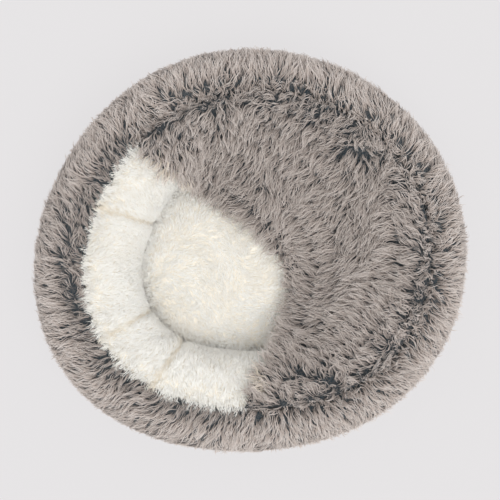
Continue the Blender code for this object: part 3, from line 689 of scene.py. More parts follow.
class Roots:
    """Places where locks grow, with their normals and their two directions along the cloth."""

    def __init__(self, grid, wraps, number, seed, density=None):
        """Spreads the places evenly over the cloth, by a two-dimensional low-discrepancy sequence.

        The first number picks the row by the rows' areas and the second the column by the areas
        along that row; density scales the areas.
        """
        layers = [grid, *directions(grid, wraps)]
        if wraps:
            layers = [wrapped(layer) for layer in layers]
        grid = layers[0]
        edge_down = grid[1:, :-1] - grid[:-1, :-1]
        edge_around = grid[:-1, 1:] - grid[:-1, :-1]
        area = np.linalg.norm(np.cross(edge_down, edge_around), axis=-1)
        if density is not None:
            area = area * density((grid[1:, :-1] + grid[:-1, 1:]) / 2)
        row_area = area.sum(1)
        order = np.arange(number)
        first, second = (
            (0.5 + seed * start + order * stride) % 1 for start, stride in zip(SEQUENCE_STARTS, SEQUENCE)
        )
        totals = np.concatenate([[0], np.cumsum(row_area)]) / row_area.sum()
        row = np.interp(first, totals, np.arange(len(totals)))
        row = np.minimum(row, len(row_area) - 1e-6)
        whole = row.astype(int)
        rows, columns = area.shape
        shares = np.cumsum(area, 1) / np.maximum(row_area, 1e-12)[:, None]
        marks = (shares + np.arange(rows)[:, None]).ravel()
        place = np.clip(np.searchsorted(marks, whole + second), 0, rows * columns - 1)
        column = np.clip(place - whole * columns, 0, columns - 1)
        before = np.where(column > 0, marks[np.maximum(place - 1, 0)], whole)
        along = np.clip((whole + second - before) / np.maximum(marks[place] - before, 1e-9), 0, 1)
        shares = (row - whole)[:, None], along[:, None]
        self.point, normal, down, around = (between(layer, whole, column, *shares) for layer in layers)
        self.normal = unit(normal)
        self.down = unit(down - self.normal * (down * self.normal).sum(-1, keepdims=True))
        self.around = np.cross(self.normal, self.down)
        self.around *= np.sign((self.around * around).sum(-1, keepdims=True))
        self.row = row / rows
        self.turn = turn_of(self.point)


# Pile


WANDER_WAVES = 6
NEAREST_AT_ONCE = 2000
# How willingly locks turn away from a parting, and the share of them that lie over the rest
WILLING = (-0.3, 3.6)
UPPER_COAT = 0.4
# Spreads of a lock's length, heading and lean, and of each strand's in it
LOCK_LENGTHS = 0.16
LOCK_HEADINGS = 0.22
LOCK_LEANS = (0.16, 0.12)
STRAND_HEADINGS = 0.24
STRAND_LEANS = 0.13
STRAND_LENGTHS = (0.72, 1.12)
STRAND_GIRTHS = (0.75, 1.2)
# How far the sway's sine runs along a lock, and the power of the place by which the lean grows
SWAY_RUN = 4.4
LEAN_POWER = 0.8
# A strand's sides: how many, and its breadth and height over its radius
SIDES = 3
BREADTH = 1.3
HEIGHT = 0.45
ROOT_GIRTH = 0.6
# The strands' map: a strand's width on it, the height of its root's face, and the tones it holds
MAP_WIDTH = 0.012
MAP_ROOT = 0.02
MAP_TONES = (0.004, 0.984)
# Tones of the first two strands of each piece, so that every piece's map spans as much
MAP_MARKS = (0.004, 0.8)
# The least tone, the lightest plain one, and the cream locks' own, with where it starts
LEAST_TONE = 0.01
LIGHT_TONE = 0.8
CREAM_TONE = 0.93
CREAM_FROM = 0.84
# How much a strand's broad side turns up the cloth
BROAD_SIDE_TURN = 0.12


def wander(points, size, seed):
    """Smooth noise from about -1 to 1: a mean of sines of the place along random directions."""
    rng = np.random.default_rng(seed)
    waves = rng.normal(size=(WANDER_WAVES, 3)) / size
    phases = rng.uniform(0, math.tau, WANDER_WAVES)
    return np.sin(points @ waves.T + phases).mean(-1) * 2


def off_line(points, line):
    """The way in plan from a line, given by its two ends, to each point."""
    start, run = np.array(line[:2]), np.array(line[2:4]) - np.array(line[:2])
    along = np.clip((points[:, :2] - start) @ run / (run @ run + 1e-9), 0, 1)[:, None]
    away = points * np.array([1, 1, 0])
    away[:, :2] -= start + along * run
    return away


def waves_of(points, waves):
    """A sum of wanders, each given by its height, size and seed."""
    return sum(height * wander(points, size, seed) for height, size, seed in waves)


def part_away(roots, heading, partings, reach, seed):
    """Turns headings away from short lines in plan, by weights that fall off as a bell over the reach.

    Each line is given by its two ends and a share for its strength. A lock follows by a share of its
    own, so that some stray across the parting.
    """
    aim = np.stack([np.cos(heading), np.sin(heading)], -1)
    close = np.zeros(len(heading))
    willing = np.random.default_rng(seed).uniform(*WILLING, len(heading))
    for line in partings:
        away = off_line(roots.point, line)
        weight = line[4] * bell(np.linalg.norm(away, axis=-1), reach)
        away = unit(away)
        turned = np.stack([(away * roots.down).sum(-1), (away * roots.around).sum(-1)], -1)
        aim += (willing * weight)[:, None] * turned
        close = np.maximum(close, weight)
    return np.arctan2(aim[:, 1], aim[:, 0]), close


def some(chance, seed):
    """Which locks are picked, each with its own chance, by a seed or a generator."""
    return np.random.default_rng(seed).uniform(0, 1, len(chance)) < chance


def coats(locks, seed):
    """How much each lock belongs to the upper coat: 0.6 for those that lie over the rest, else -0.4."""
    return some(np.full(locks, UPPER_COAT), seed) - UPPER_COAT


def nearest(points, others):
    """For each point, the order of the nearest of the others."""
    parts = np.array_split(points, len(points) // NEAREST_AT_ONCE + 1)
    return np.concatenate([((part[:, None] - others) ** 2).sum(-1).argmin(1) for part in parts])


def grow(roots, pile, heading, scale, lean, seed, sway=0.45, gather=0.75, bunch=(7, 0.4)):
    """Centre lines of strands, several to a lock, as an array of locks, strands, steps and axes.

    Each step goes along the normal times the cosine of its lean plus the combed direction times the
    sine. The lean grows from root to tip, and the heading sways as a sine. A lock's strands start
    spread over its foot and are drawn towards the lock's own line by a share that grows with the
    square of the place along them. Locks are drawn towards the nearest leading lock in the same
    way, by a smaller share, which bunches them.
    """
    rng = np.random.default_rng(seed)
    locks, strands, steps = len(roots.point), pile.strands, pile.steps
    place = (np.arange(steps) + 0.5) / steps
    squares = (np.linspace(0, 1, steps + 1) ** 2)[:, None]
    normal, down, around = (vector[:, None, None] for vector in (roots.normal, roots.down, roots.around))

    def each(values):
        """Values for the locks, set out for their strands and steps."""
        return np.reshape(values, (-1, 1, 1))

    size = each(pile.lock_length * scale * np.exp(LOCK_LENGTHS * rng.normal(size=locks)))
    phase = each(rng.uniform(0, math.tau, locks))
    lock_heading = each(heading + LOCK_HEADINGS * rng.normal(size=locks))
    lean_start, lean_end = (
        each(np.radians(end) + spread * rng.normal(size=locks)) for end, spread in zip(lean, LOCK_LEANS)
    )

    def path(extra_heading, extra_lean, extra_size):
        """The running sum of the steps along a line that strays from the lock's own."""
        swing = lock_heading + extra_heading + sway * np.sin(phase + SWAY_RUN * place)
        tilt = lean_start + (lean_end - lean_start) * place**LEAN_POWER + extra_lean
        ahead = np.cos(swing)[..., None] * down + np.sin(swing)[..., None] * around
        stride = np.cos(tilt)[..., None] * normal + np.sin(tilt)[..., None] * ahead
        moved = np.cumsum(stride * (size * extra_size / steps)[..., None], 2)
        return np.concatenate([np.zeros_like(moved[:, :, :1]), moved], 2)

    shape = (locks, strands, 1)
    whole = path(0, 0, 1)
    single = path(
        STRAND_HEADINGS * rng.normal(size=shape),
        STRAND_LEANS * rng.normal(size=shape),
        rng.uniform(*STRAND_LENGTHS, shape),
    )
    spin = rng.uniform(0, math.tau, shape)[..., None]
    spread = pile.lock_width * np.sqrt(rng.uniform(0, 1, shape))[..., None]
    foot = spread * (np.cos(spin) * down + np.sin(spin) * around)
    drawn = np.reshape(gather, (-1, 1, 1, 1)) * squares
    line = roots.point[:, None, None] + foot * (1 - drawn) + single * (1 - drawn) + whole * drawn
    centre = roots.point[:, None] + whole[:, 0]
    every, bunching = bunch
    leader = nearest(roots.point, roots.point[::every])
    pull = centre[::every][leader] - centre
    line += pull[:, None] * np.reshape(bunching, (-1, 1, 1, 1)) * squares
    height = line[..., 2]
    high = height - CAP_START
    level = np.where(high > 0, CAP_START + CAP_ROOM * np.tanh(high / CAP_ROOM), height)
    line[..., 2] = np.maximum(level, LOWEST_TIP)
    return line


def strand_meshes(name, lines, up, radius, tone, sectors):
    """Flat three-sided tapering tubes along the strands' lines, in one mesh for each sector.

    A tube's radius swells over its first third and falls to a point as 1 less the square of the
    place, and its broad side lies towards the cloth. The map's height is the place along a strand,
    and its side the strand's tone.
    """
    strands, rings = lines.shape[:2]
    bodies = rings - 1
    run = unit(np.gradient(lines, axis=1))
    side = unit(np.cross(run, up[:, None]))
    lift = np.cross(side, run)
    place = np.linspace(0, 1, rings)
    girth = (1 - place**2) * (ROOT_GIRTH + (1 - ROOT_GIRTH) * np.minimum(3 * place, 1))
    spin = math.pi / 2 + math.tau * np.arange(SIDES) / SIDES
    wide = np.cos(spin)[:, None] * side[:, :bodies, None] * BREADTH
    tall = np.sin(spin)[:, None] * lift[:, :bodies, None] * HEIGHT
    size = (np.asarray(radius).reshape(-1, 1) * girth[:bodies])[..., None, None]
    tubes = lines[:, :bodies, None] + (wide + tall) * size
    points = np.concatenate([tubes.reshape(strands, -1, 3), lines[:, -1:]], 1)
    spans = np.meshgrid(np.arange(bodies - 1), np.arange(SIDES), indexing="ij")
    ring, corner = (span.reshape(-1, 1) + step for span, step in zip(spans, ([0, 0, 1, 1], [0, 1, 1, 0])))
    quad = ring * SIDES + corner % SIDES
    quad_uv = np.stack([corner / SIDES * MAP_WIDTH, place[ring]], -1)
    sides = np.arange(SIDES)
    last = bodies - 1
    tips = np.stack([sides, (sides + 1) % SIDES, np.full(SIDES, SIDES)], -1) + last * SIDES
    triangle = np.concatenate([tips, [[0, 2, 1]]])
    across = np.stack([sides, sides + 1, sides + 0.5], -1) / SIDES * MAP_WIDTH
    tip_uv = np.stack([across, np.tile([place[last], place[last], 1.0], (SIDES, 1))], -1)
    triangle_uv = np.concatenate([tip_uv, [[[0, 0], [MAP_WIDTH, 0], [MAP_WIDTH / 2, MAP_ROOT]]]])
    made = []
    for sector in np.unique(sectors):
        chosen = np.flatnonzero(sectors == sector)
        offset = (np.arange(len(chosen)) * points.shape[1])[:, None, None]
        shift = np.zeros((len(chosen), 1, 1, 2))
        shift[:, 0, 0, 0] = np.clip(tone[chosen], *MAP_TONES)
        shift[:2, 0, 0, 0] = MAP_MARKS
        faces = [(face + offset).reshape(-1, face.shape[1]) for face in (quad, triangle)]
        maps = [(face + shift).reshape(-1, *face.shape[1:]) for face in (quad_uv, triangle_uv)]
        made.append(make_mesh(f"{name}_{int(sector) + 1}", points[chosen].reshape(-1, 3), *faces, maps))
    return made


def dress_with_pile(
    name, roots, lines, pile, tone, material, seed, parts, slot, limits, top_tone, spread, cream=None
):
    """Makes the strands' meshes in parts by their turn, and gives them their finish and body.

    A lock's tone is held within its limits. Each lock strays from it by the first spread, and each
    strand in it by the second. Cream locks get a tone of their own.
    """
    rng = np.random.default_rng(seed)
    locks, strands = lines.shape[:2]
    order = np.argsort(np.argsort((roots.turn / math.tau) % 1, kind="stable"), kind="stable")
    sector = np.repeat(order * parts // locks, strands)
    tone = np.repeat(np.clip(tone, *limits) + spread[0] * rng.normal(size=locks), strands)
    tone = np.clip(tone + spread[1] * rng.normal(size=locks * strands), LEAST_TONE, top_tone)
    if cream is not None:
        tone = np.where(np.repeat(cream, strands), CREAM_TONE, tone)
    radius = pile.strand_radius * rng.uniform(*STRAND_GIRTHS, locks * strands)
    up = np.repeat(roots.normal + BROAD_SIDE_TURN * roots.down, strands, 0)
    made = strand_meshes(name, lines.reshape(locks * strands, -1, 3), up, radius, tone, sector)
    for thing in made:
        finish_piece(thing, material)
    return made


def dress_nodes(names, material):
    """Gives solids that stay a better finish."""
    for name in names:
        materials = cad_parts[name].data.materials
        materials.clear()
        materials.append(material)


def finish_piece(thing, material):
    """Gives a piece its material and its body."""
    thing.data.materials.append(material)
    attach(thing, BODY)


# Materials


# Colours along a strand: the place on it, the name of a colour of its pile, and a factor
DARK_STOPS = (
    (0.0, "root", 0.6),
    (0.17, "root", 1),
    (0.42, "middle", 0.75),
    (0.75, "middle", 1.2),
    (1.0, "tip", 0.9),
)
PALE_STOPS = (
    (0.0, "middle", 0.7),
    (0.16, "middle", 1.05),
    (0.4, "middle", 1.5),
    (0.72, "rim_tip", 0.86),
    (1.0, "rim_tip", 0.96),
)
CREAM_STOPS = ((0.0, "cream", 0.9), (0.5, "cream", 1), (1.0, "tip", 1.05))
BRIGHT_STOPS = ((0.0, "light", 0.97), (0.5, "light", 1), (1.0, "light", 1))
# The plush's shade along a strand: painted shade, darkest at the root.
WARM_SHADE_STOPS = ((0.0, "shade", 0.95), (1.0, "shade", 1))
# Factors of a cloth's colour where it is faded and where it is fresh
FADED, FRESH = 0.75, 1.3
THREAD_PITCH = 0.0009
DOT_COLOUR = (24, 24, 26)


def sums(operation, swapped=False):
    """An operator of Value, which adds a Math node on it and another term."""

    def add_node(value, other):
        terms = (other, value) if swapped else (value, other)
        return value.nodes.math(operation, *terms)

    return add_node


class Value:
    """A socket that takes part in sums as a number does; each sum adds a Math node."""

    def __init__(self, nodes, socket):
        self.nodes = nodes
        self.socket = socket

    __add__, __radd__ = sums("ADD"), sums("ADD", True)
    __sub__, __rsub__ = sums("SUBTRACT"), sums("SUBTRACT", True)
    __mul__, __rmul__ = sums("MULTIPLY"), sums("MULTIPLY", True)


class Nodes:
    """A node tree, and the ways to fill it."""

    def __init__(self, tree):
        self.tree = tree

    def node(self, kind, settings=None, inputs=None):
        """A node of a type, with its settings, and values or links for its sockets."""
        made = self.tree.nodes.new(kind)
        for name, value in (settings or {}).items():
            if name == "stops":
                ramp = made.color_ramp
                while len(ramp.elements) < len(value):
                    ramp.elements.new(1)
                for element, (place, shade) in zip(ramp.elements, value):
                    element.position = place
                    element.color = (*shade, 1)
            else:
                setattr(made, name, value)
        for name, value in (inputs or {}).items():
            self.connect(made.inputs[name], value)
        return made

    def connect(self, socket, value):
        """Sets a socket to a value, or links it to another socket."""
        if isinstance(value, Value):
            value = value.socket
        if isinstance(value, bpy.types.NodeSocket):
            self.tree.links.new(value, socket)
        elif socket.type == "RGBA" and len(value) == 3:
            socket.default_value = (*value, 1)
        else:
            socket.default_value = value

    def math(self, operation, *terms, clamp=False):
        """A Math node on values and sockets."""
        settings = {"operation": operation, "use_clamp": clamp}
        return Value(self, self.node("ShaderNodeMath", settings, dict(enumerate(terms))).outputs[0])

    def mixed_shaders(self, factor, first, second, output):
        """Feeds an output's surface with a blend of two nodes' shaders by a factor."""
        inputs = {0: factor, 1: first.outputs[0], 2: second.outputs[0]}
        made = self.node("ShaderNodeMixShader", None, inputs)
        self.connect(self.tree.nodes[output].inputs["Surface"], made.outputs[0])

    def looked_at(self):
        """1 for rays of the camera, of gloss and of transmission, and 0 for the others."""
        rays = self.node("ShaderNodeLightPath").outputs
        seen = self.math("MAXIMUM", rays["Is Camera Ray"], rays["Is Glossy Ray"])
        return self.math("MAXIMUM", seen, rays["Is Transmission Ray"])


class Recipe(Nodes):
    """A material put together from nodes round one Principled shader."""

    def __init__(self, name, **constants):
        self.material = bpy.data.materials.new(name)
        self.material.use_nodes = True
        super().__init__(self.material.node_tree)
        self.shader = self.tree.nodes["Principled BSDF"]
        for socket, value in constants.items():
            self.shader.inputs[socket.replace("_", " ")].default_value = value

    def mix(self, factor, first, second):
        """A blend of two colours by a factor."""
        made = self.node("ShaderNodeMix", {"data_type": "RGBA"}, {0: factor, 6: first, 7: second})
        return made.outputs[2]

    def along_strand(self, value, pile, stops):
        """A ramp of a pile's colours along a value."""
        stops = [(place, scaled(getattr(pile, shade), factor)) for place, shade, factor in stops]
        return self.node("ShaderNodeValToRGB", {"stops": stops}, {"Fac": value}).outputs["Color"]

    def place(self, scale=(1, 1, 1)):
        """The place in the piece's own coordinates, scaled along each axis."""
        made = self.node("ShaderNodeTexCoord").outputs["Object"]
        return self.node("ShaderNodeMapping", None, {"Vector": made, "Scale": scale}).outputs["Vector"]

    def parts(self, vector=None):
        """The three parts of a vector, or else of the place."""
        made = self.node("ShaderNodeSeparateXYZ", None, {0: vector or self.place()})
        return [Value(self, made.outputs[axis]) for axis in "XYZ"]

    def noise(self, scale, detail=2.0, vector=None):
        """Noise of a size, from 0 to 1."""
        inputs = {"Vector": vector or self.place(), "Scale": scale, "Detail": detail}
        return Value(self, self.node("ShaderNodeTexNoise", None, inputs).outputs[0])

    def pile_map(self):
        """The strand's tone and the place along it, from the piece's own map."""
        return self.parts(self.node("ShaderNodeUVMap", {"uv_map": BAKE_MAP}).outputs["UV"])[:2]

    def cloth(self, threads, shade, lift=0.0):
        """A cloth's colour: a little fading, and its threads, lifted towards the fresh shade."""
        fresh = self.noise(9.0) * 0.7 + threads * 0.15 + lift
        return self.mix(fresh, scaled(shade, FADED), scaled(shade, FRESH))

    def paint(self, shade):
        """Feeds the base colour."""
        self.connect(self.shader.inputs["Base Color"], shade)

    def roughen(self, roughness):
        """Feeds the roughness."""
        self.connect(self.shader.inputs["Roughness"], roughness)

    def bump(self, height, distance, strength=1.0):
        """Feeds the normal from a height."""
        inputs = {"Height": height, "Distance": distance, "Strength": strength}
        made = self.node("ShaderNodeBump", None, inputs)
        self.connect(self.shader.inputs["Normal"], made.outputs["Normal"])


def scaled(shade, factor):
    """A colour made lighter or darker."""
    return tuple(min(channel * factor, 1.0) for channel in shade)


def shag_finish(pile):
    """Grey pile: dark bluish roots and pale tips, with a tone for each strand.

    Tones up to the light one go from dark to pale. The cream tone belongs to locks over the plush.
    """
    sheen = {"Sheen_Weight": 0.15, "Sheen_Roughness": 0.5}
    recipe = Recipe("frosted grey pile", Roughness=0.65, Specular_IOR_Level=0.3, **sheen)
    tone, along = recipe.pile_map()
    dark, pale, cream = (
        recipe.along_strand(along, pile, stops) for stops in (DARK_STOPS, PALE_STOPS, CREAM_STOPS)
    )
    plain = recipe.mix(recipe.math("MULTIPLY", tone, 1 / LIGHT_TONE, clamp=True), dark, pale)
    recipe.paint(recipe.mix(recipe.math("GREATER_THAN", tone, CREAM_FROM), plain, cream))
    return recipe.material


def plush_finish(pile):
    """White pile, a little shaded at its roots and in its creases."""
    sheen = {"Sheen_Weight": 0.3, "Sheen_Roughness": 0.6}
    recipe = Recipe("white plush pile", Roughness=0.8, Specular_IOR_Level=0.2, **sheen)
    tone, along = recipe.pile_map()
    warm_shade, bright = (recipe.along_strand(along, pile, stops) for stops in (WARM_SHADE_STOPS, BRIGHT_STOPS))
    recipe.paint(recipe.mix(tone, warm_shade, bright))
    return recipe.material


def knit_finish(name, dark, pale, scale=900.0, painted_light_below=0.0):
    """Knitted backing that the pile grows from: fine loops under upright stray fibres of a paler shade.

    Below a height the paler colour shows more: painted light, which lightens the dark gaps between the locks
    at the rim.
    """
    recipe = Recipe(name, Roughness=0.92, Specular_IOR_Level=0.2)
    # Painted light: paler below a height, where the rim's gaps would look dark.
    low = recipe.math("MULTIPLY", painted_light_below - recipe.parts()[2], 25.0, clamp=True)
    fibres = recipe.noise(330.0, 4.0, recipe.place((2.6, 2.6, 0.35)))
    stray = recipe.math("ADD", fibres * 3.6 - 1.6, low * 0.6, clamp=True)
    recipe.paint(recipe.mix(stray, dark, pale))
    loops = recipe.node("ShaderNodeTexVoronoi", None, {"Vector": recipe.place(), "Scale": scale})
    recipe.bump(Value(recipe, loops.outputs["Distance"]), 0.0003, 0.6)
    return recipe.material


def weave_finish(name, shade, pitch):
    """Plain woven cloth: two crossing sines of the place make the threads, with a little fading."""
    recipe = Recipe(name, Roughness=0.85, Specular_IOR_Level=0.3)
    across, along, upright = (recipe.math("SINE", part * (math.tau / pitch)) for part in recipe.parts())
    threads = across * along + upright * 0.5
    recipe.paint(recipe.cloth(threads, shade, 0.15))
    recipe.bump(threads, 0.00015, 0.5)
    return recipe.material


def dotted_finish(name, shade, pitch):
    """Woven cloth with a grid of small raised rubber dots, which keep the bed from sliding.

    A dot is where the cosines of the place along both axes, over the pitch, add up to enough.
    """
    recipe = Recipe(name)
    plan = recipe.parts()[:2]
    wide, deep = (recipe.math("COSINE", part * (math.tau / pitch)) for part in plan)
    dot = recipe.math("MULTIPLY", (wide + deep) - 1.15, 6.0, clamp=True)
    across, along = (recipe.math("SINE", part * (math.tau / THREAD_PITCH)) for part in plan)
    threads = across * along
    recipe.paint(recipe.mix(dot, recipe.cloth(threads, shade), screen(*DOT_COLOUR)))
    recipe.roughen(0.9 - dot * 0.45)
    recipe.bump(threads * 0.15 + dot, 0.0006, 0.7)
    return recipe.material


def metal_finish():
    """Nickel-plated zip metal, brushed and a little worn."""
    recipe = Recipe("plated zip metal", Metallic=1.0, Roughness=0.3)
    wear = recipe.noise(420.0, 4.0)
    recipe.paint(recipe.mix(wear, screen(176, 174, 170), screen(206, 205, 203)))
    recipe.roughen(wear * 0.2 + 0.22)
    recipe.bump(recipe.noise(900.0), 0.00004, 0.4)
    return recipe.material


def nylon_finish():
    """Dark nylon of the zip's teeth."""
    recipe = Recipe("zip nylon", Roughness=0.42)
    recipe.paint(recipe.mix(recipe.noise(300.0), screen(44, 44, 48), screen(62, 62, 66)))
    return recipe.material


def thread_finish(name, dark, pale):
    """Twisted sewing thread."""
    recipe = Recipe(name, Roughness=0.7)
    inputs = {"Vector": recipe.place(), "Scale": 260.0, "Distortion": 1.5}
    twist = Value(recipe, recipe.node("ShaderNodeTexWave", None, inputs).outputs["Fac"])
    recipe.paint(recipe.mix(twist, screen(*dark), screen(*pale)))
    recipe.bump(twist, 0.0001, 0.6)
    return recipe.material


def fibre_finish(name, shade):
    """Soft white fibre, with slow lumps."""
    recipe = Recipe(name, Roughness=0.95)
    lumps = recipe.noise(60.0, 5.0)
    recipe.paint(recipe.mix(lumps, scaled(shade, 0.9), shade))
    recipe.bump(lumps, 0.002, 0.7)
    return recipe.material


# Operators


# Rows and stations of the simulated cloths, and the finer ones that locks grow on
STATIONS = 192
FINE_STATIONS = 384
COVER_ROWS = (18, 8)
FINE_COVER_ROWS = (36, 18)
WALL_ROWS = 17
FINE_WALL_ROWS = 36
FLOOR_SHAPE = (16, 96)
FINE_FLOOR_SHAPE = (40, 288)
HOOD_SHAPE = (26, 140)
FINE_HOOD_SHAPE = (40, 260)
BAG_SHAPE = (10, 128)
PAD_SHAPE = (12, 96)

# How each coat is dressed, and how its strands stray: by lock and by strand
GREY_COAT = {"slot": "grey_shag", "limits": (0.05, 0.78), "top_tone": 0.82}
RING_COAT = {"spread": (0.06, 0.14), **GREY_COAT}
HOOD_COAT = {"spread": (0.1, 0.2), **GREY_COAT}
WHITE_COAT = {"slot": "white_plush", "limits": (0.02, 0.96), "top_tone": 0.98, "spread": (0.1, 0.06)}

# The waves of each coat's heading: their height, size and seed
RING_WAVES = ((0.45, 0.05, 3), (0.35, 0.018, 4))
RIM_WAVES = ((0.35, 0.05, 8),)
WALL_WAVES = ((0.7, 0.04, 13), (0.3, 0.012, 14))
FLOOR_WAVES = ((2.0, 0.06, 19), (0.4, 0.015, 20))
HOOD_WAVES = ((0.75, 0.045, 25), (0.4, 0.016, 26))

# Partings, as the two ends of a line in plan and its strength, and how far they reach
RING_PARTINGS = (
    (-0.145, 0.262, -0.055, 0.283, 0.7),
    (0.055, 0.283, 0.085, 0.272, 0.9),
    (0.265, 0.175, 0.300, 0.140, 0.7),
    (0.318, 0.085, 0.330, 0.040, 0.6),
    (-0.322, 0.060, -0.318, 0.020, 0.6),
    (-0.330, -0.005, -0.300, -0.100, 0.6),
)
HOOD_PARTINGS = (
    (0.066, 0.270, 0.080, 0.262, 0.8),
    (0.112, 0.250, 0.140, 0.240, 0.9),
    (0.165, 0.178, 0.225, 0.166, 0.9),
    (0.240, 0.195, 0.262, 0.165, 0.9),
    (0.300, 0.120, 0.318, 0.085, 0.6),
    (0.312, -0.050, 0.300, -0.085, 0.8),
    (0.075, -0.214, 0.140, -0.228, 0.9),
    (0.230, -0.150, 0.250, -0.170, 0.6),
)
RING_PARTING_REACH = 0.016
HOOD_PARTING_REACH = 0.017
# Lines in plan with cream locks beside them
HOOD_CREAM = ((-0.160, 0.160, -0.112, 0.120), (0.004, -0.160, 0.022, -0.236))
HOOD_CREAM_REACH = 0.011

# Turns at which the comb swings most and at which the plush lies bare beside the seam
COMB_TURN = math.radians(40)
PLUSH_TURN = math.radians(202)

# No lock grows within this radius at the foot, and below this height they crowd
LOCKS_FROM = 0.330
CROWDED_BELOW = 0.075
CROWDING_FADE = 0.035
# The fringe's lowest height, and how much higher it ends over the zip, in front of the zip's
# radius and within its half turn
FRINGE_HEIGHT = 0.004
FRINGE_LIFT = 0.0225
ZIP_TURN = math.pi / 2
ZIP_HALF_TURN = math.radians(90)
ZIP_FADE = math.radians(16)
ZIP_REACH = 0.36
# Below this height the fringe hangs outside this radius, in front of the band
BAND_COVER_HEIGHT = 0.031
BAND_COVER_RADIUS = 0.3285

# For the plush the hood's free edge counts as drawn back by this share of its width
HOOD_MARGIN = -0.13
# Creases are pinned where they draw the wall in by this much
CREASE_PINNED = 0.0028
# The floor's tufts crowd from this share of the nest's radius outward
RIM_CROWDED = 0.88
RIM_CROWDING_FADE = 0.08
FLOOR_UNDERSIDE = 0.0059
CLOTH_GAP = 0.0003
# Depths of a cloth's two faces under its grid
COVER_FACES = (0.0004, 0.0026)
WALL_FACES = (0.0003, 0.0021)

# Heights off the hood's underside: of its lining, its backing and its locks' roots
HOOD_LINING = (0.0004, 0.0030)
HOOD_BACKING = (0.0034, 0.0064)
HOOD_ROOTS = 0.0068

# Corners of the zip's wire round its section, and places along one loop
WIRE_SIDES = 4
LOOP_STEPS = 8

# The stage
FLOOR_REACH = 6
FLOOR_SHADE = 0.9
FLOOR_GLOW = 0.88
SENSOR_WIDTH = 36
CLIP_END = 20
CAMERA_PLACE = (-0.0004, 0.0010)
LAMP_SIZE = math.radians(50)
LAMP_TILT = (math.radians(21), math.radians(12), 0)


def grow_plush(name, roots, pile, seeds, heading, scale, lean, tone):
    """White tufts in two parts, little drawn together."""
    lines = grow(roots, pile, heading, scale, lean, seeds[0], sway=0.5, gather=0.35, bunch=(9, 0.22))
    dress_with_pile(name, roots, lines, pile, tone, plush_finish(pile), seeds[1], parts=2, **WHITE_COAT)


